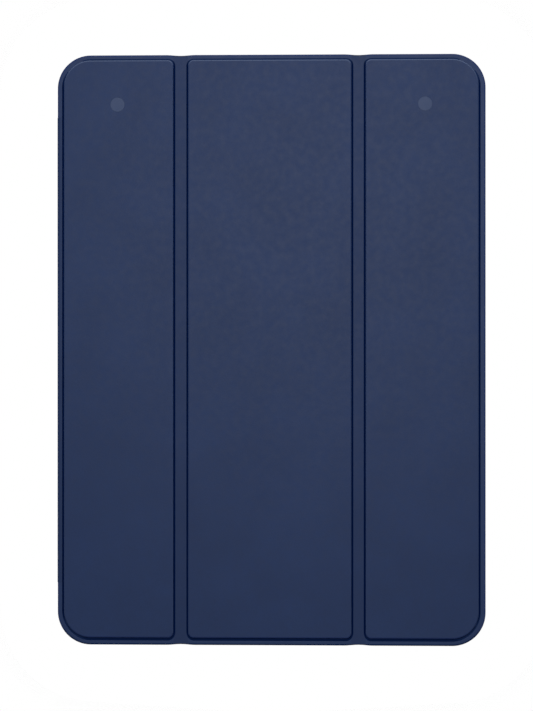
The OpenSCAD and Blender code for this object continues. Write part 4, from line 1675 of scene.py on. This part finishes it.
    def build(self) -> None:
        """Makes the keyboard's case, keys and inner parts."""
        for node, ease in (("keyboard_base", 0.09), ("keyboard_deck", 0.12)):
            self.maker.eased(node, "keyboard", KEYBOARD_CASE, ease, clamp=False)
        self.maker.eased("usb_socket", "keyboard", SOCKET, 0.1)
        self.maker.eased("status_lights", "keyboard", LIGHT_PIPE, 0.1)
        self.maker.eased("keyboard_feet", "keyboard", FOOT, 0.15, 3)
        self.maker.eased("power_switch", "power_switch", SWITCH, 0.2, 3)
        self.build_inside()
        self.build_keys()


# ---------------------------------------------------------------- studio


@dataclass
class Lamp:
    """One soft lamp: where it stands and what it looks at, in metres."""

    name: str
    place: tuple[float, float, float]
    power: float
    size: tuple[float, float]
    aim: tuple[float, float, float] = (0.0, 0.0, 0.0)

    def build(self) -> None:
        """Hangs the lamp, unseen by the camera."""
        light = bpy.data.lights.new(self.name, "AREA")
        light.shape = "RECTANGLE"
        light.size, light.size_y = self.size
        light.energy = self.power
        obj = shown(self.name, light)
        obj.location = self.place
        obj.rotation_euler = (Vector(self.aim) - Vector(self.place)).to_track_quat("-Z", "Y").to_euler()
        obj.visible_camera = False
        log.info("lamp %s: %.1f W", self.name, self.power)


@dataclass
class Studio:
    """White floor and surroundings, soft lamps and the camera."""

    ambient: float = 0.18
    floor_white: float = 0.9
    floor_drop: float = 0.4
    floor_reach: float = 3000
    shadow_share: float = 0.06
    shadow_reach: float = 45.0
    foot_r: float = 14.4
    picture: tuple[int, int] = (533, 711)
    mm_per_dot: float = 0.4312
    distance: float = 1.0
    yaw: float = 2.0
    centre: tuple[float, float] = (-1.81, -2.39)
    lamps: tuple[Lamp, ...] = (
        Lamp("softbox", (0.02, 0.124, 0.70), 2.7, (0.3, 0.3)),
        Lamp("window", (0.0, 0.75, 0.6), 4.25, (0.6, 0.4)),
        Lamp("under_left", (-0.7, -0.5, -0.9), 8.5, (0.7, 0.7)),
        Lamp("under_right", (0.8, 0.6, -0.8), 6.5, (0.7, 0.7)),
    )

    def build(self) -> None:
        """Makes the surroundings, the floor, the lamps and the camera."""
        bpy.context.scene.view_settings.view_transform = "Standard"
        self.build_world()
        self.build_floor()
        for lamp in self.lamps:
            lamp.build()
        self.build_camera()

    def build_world(self) -> None:
        """Makes surroundings that look white and light the case at a plain level."""
        world = bpy.data.worlds.new("surroundings")
        bpy.context.scene.world = world
        sketch = Sketch(world)
        path = sketch.add("LightPath").outputs
        seen = path["Is Camera Ray"]
        for ray in ("Is Glossy Ray", "Is Transmission Ray"):
            seen = sketch.worked("MAXIMUM", seen, path[ray])
        strength = sketch.spread(seen, self.ambient, 1.0, 0, 1)
        background = sketch.add("Background", Color=WHITE, Strength=strength)
        sketch.add("OutputWorld", Surface=background.outputs["Background"])

    def build_floor(self) -> None:
        """Makes a white floor that shows little but the case's shadow.

        It is open below the case, and shows no shadow far from it, so that nothing that is seen through
        it looks pale.
        """
        low, high = packed_box[0] / MM, packed_box[1] / MM
        foot = Outline(low.x, high.x, low.y, high.y, self.foot_r, self.foot_r)
        bm = bmesh.new()
        face = foot.grown(self.floor_reach).face(bm, low.z - self.floor_drop)
        rings = [self.floor_reach, *(self.shadow_reach * i / 8 for i in (11, *range(8, -1, -1))), -3]
        face = stepped(bm, face, [(a - b, 0) for a, b in zip(rings, rings[1:])])
        bmesh.ops.delete(bm, geom=[face], context="FACES")
        bmesh.ops.scale(bm, vec=(MM, MM, MM), verts=list(bm.verts))
        mesh = kept_mesh(bm, "floor")
        marked(mesh, "near", [self.nearness(foot, v.co / MM) for v in mesh.vertices])
        material = bpy.data.materials.new("floor")
        sketch = Sketch(material)
        seen = sketch.product(sketch.add("LightPath").outputs["Is Camera Ray"], sketch.read("near"))
        grey = (self.floor_white, self.floor_white, self.floor_white, 1)
        mix = sketch.add("MixShader", None, seen)
        sketch.fill(mix, 1, sketch.add("BsdfTransparent").outputs["BSDF"])
        sketch.fill(mix, 2, sketch.add("BsdfDiffuse", Color=grey).outputs["BSDF"])
        sketch.add("OutputMaterial", Surface=mix.outputs["Shader"])
        mesh.materials.append(material)
        shown("floor", mesh)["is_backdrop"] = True

    def nearness(self, foot: Outline, point: Vector) -> float:
        """Gives the share of the floor that shows at a point, which fades away from the case's foot."""
        far = max(math.hypot(*foot.past(point)) - foot.r0, 0.0) / self.shadow_reach
        return self.shadow_share * max(1 - far, 0.0) ** 2

    def build_camera(self) -> None:
        """Hangs the camera over the cover, turned a little towards the free edge."""
        data = bpy.data.cameras.new("camera")
        data.sensor_width = 36.0
        data.lens = data.sensor_width * self.distance / (self.picture[1] * self.mm_per_dot * MM)
        camera = shown("camera", data)
        turn = Matrix.Rotation(math.radians(self.yaw), 4, "Y")
        aim = Matrix.Translation((self.centre[0] * MM, self.centre[1] * MM, packed_box[1].z))
        camera.matrix_world = aim @ turn @ Matrix.Translation((0, 0, self.distance))
        bpy.context.scene.camera = camera
        log.info("camera: %.0f mm lens", data.lens)


def main() -> None:
    """Builds every piece of the case in order, then its surroundings."""
    logging.basicConfig(level=logging.INFO, format="%(name)s: %(message)s")
    maker = Maker()
    cover = Cover(maker)
    cover.build()
    Spine(maker, cover).build()
    Tray(maker).build()
    Keyboard(maker).build()
    Studio().build()
    log.info("%d pieces", len(maker.made))
    sizes = {"packed": packed_box, "dressed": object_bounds()}
    {name: [list(corner) for corner in box] for name, box in sizes.items()}


if __name__ == "__main__":
    main()
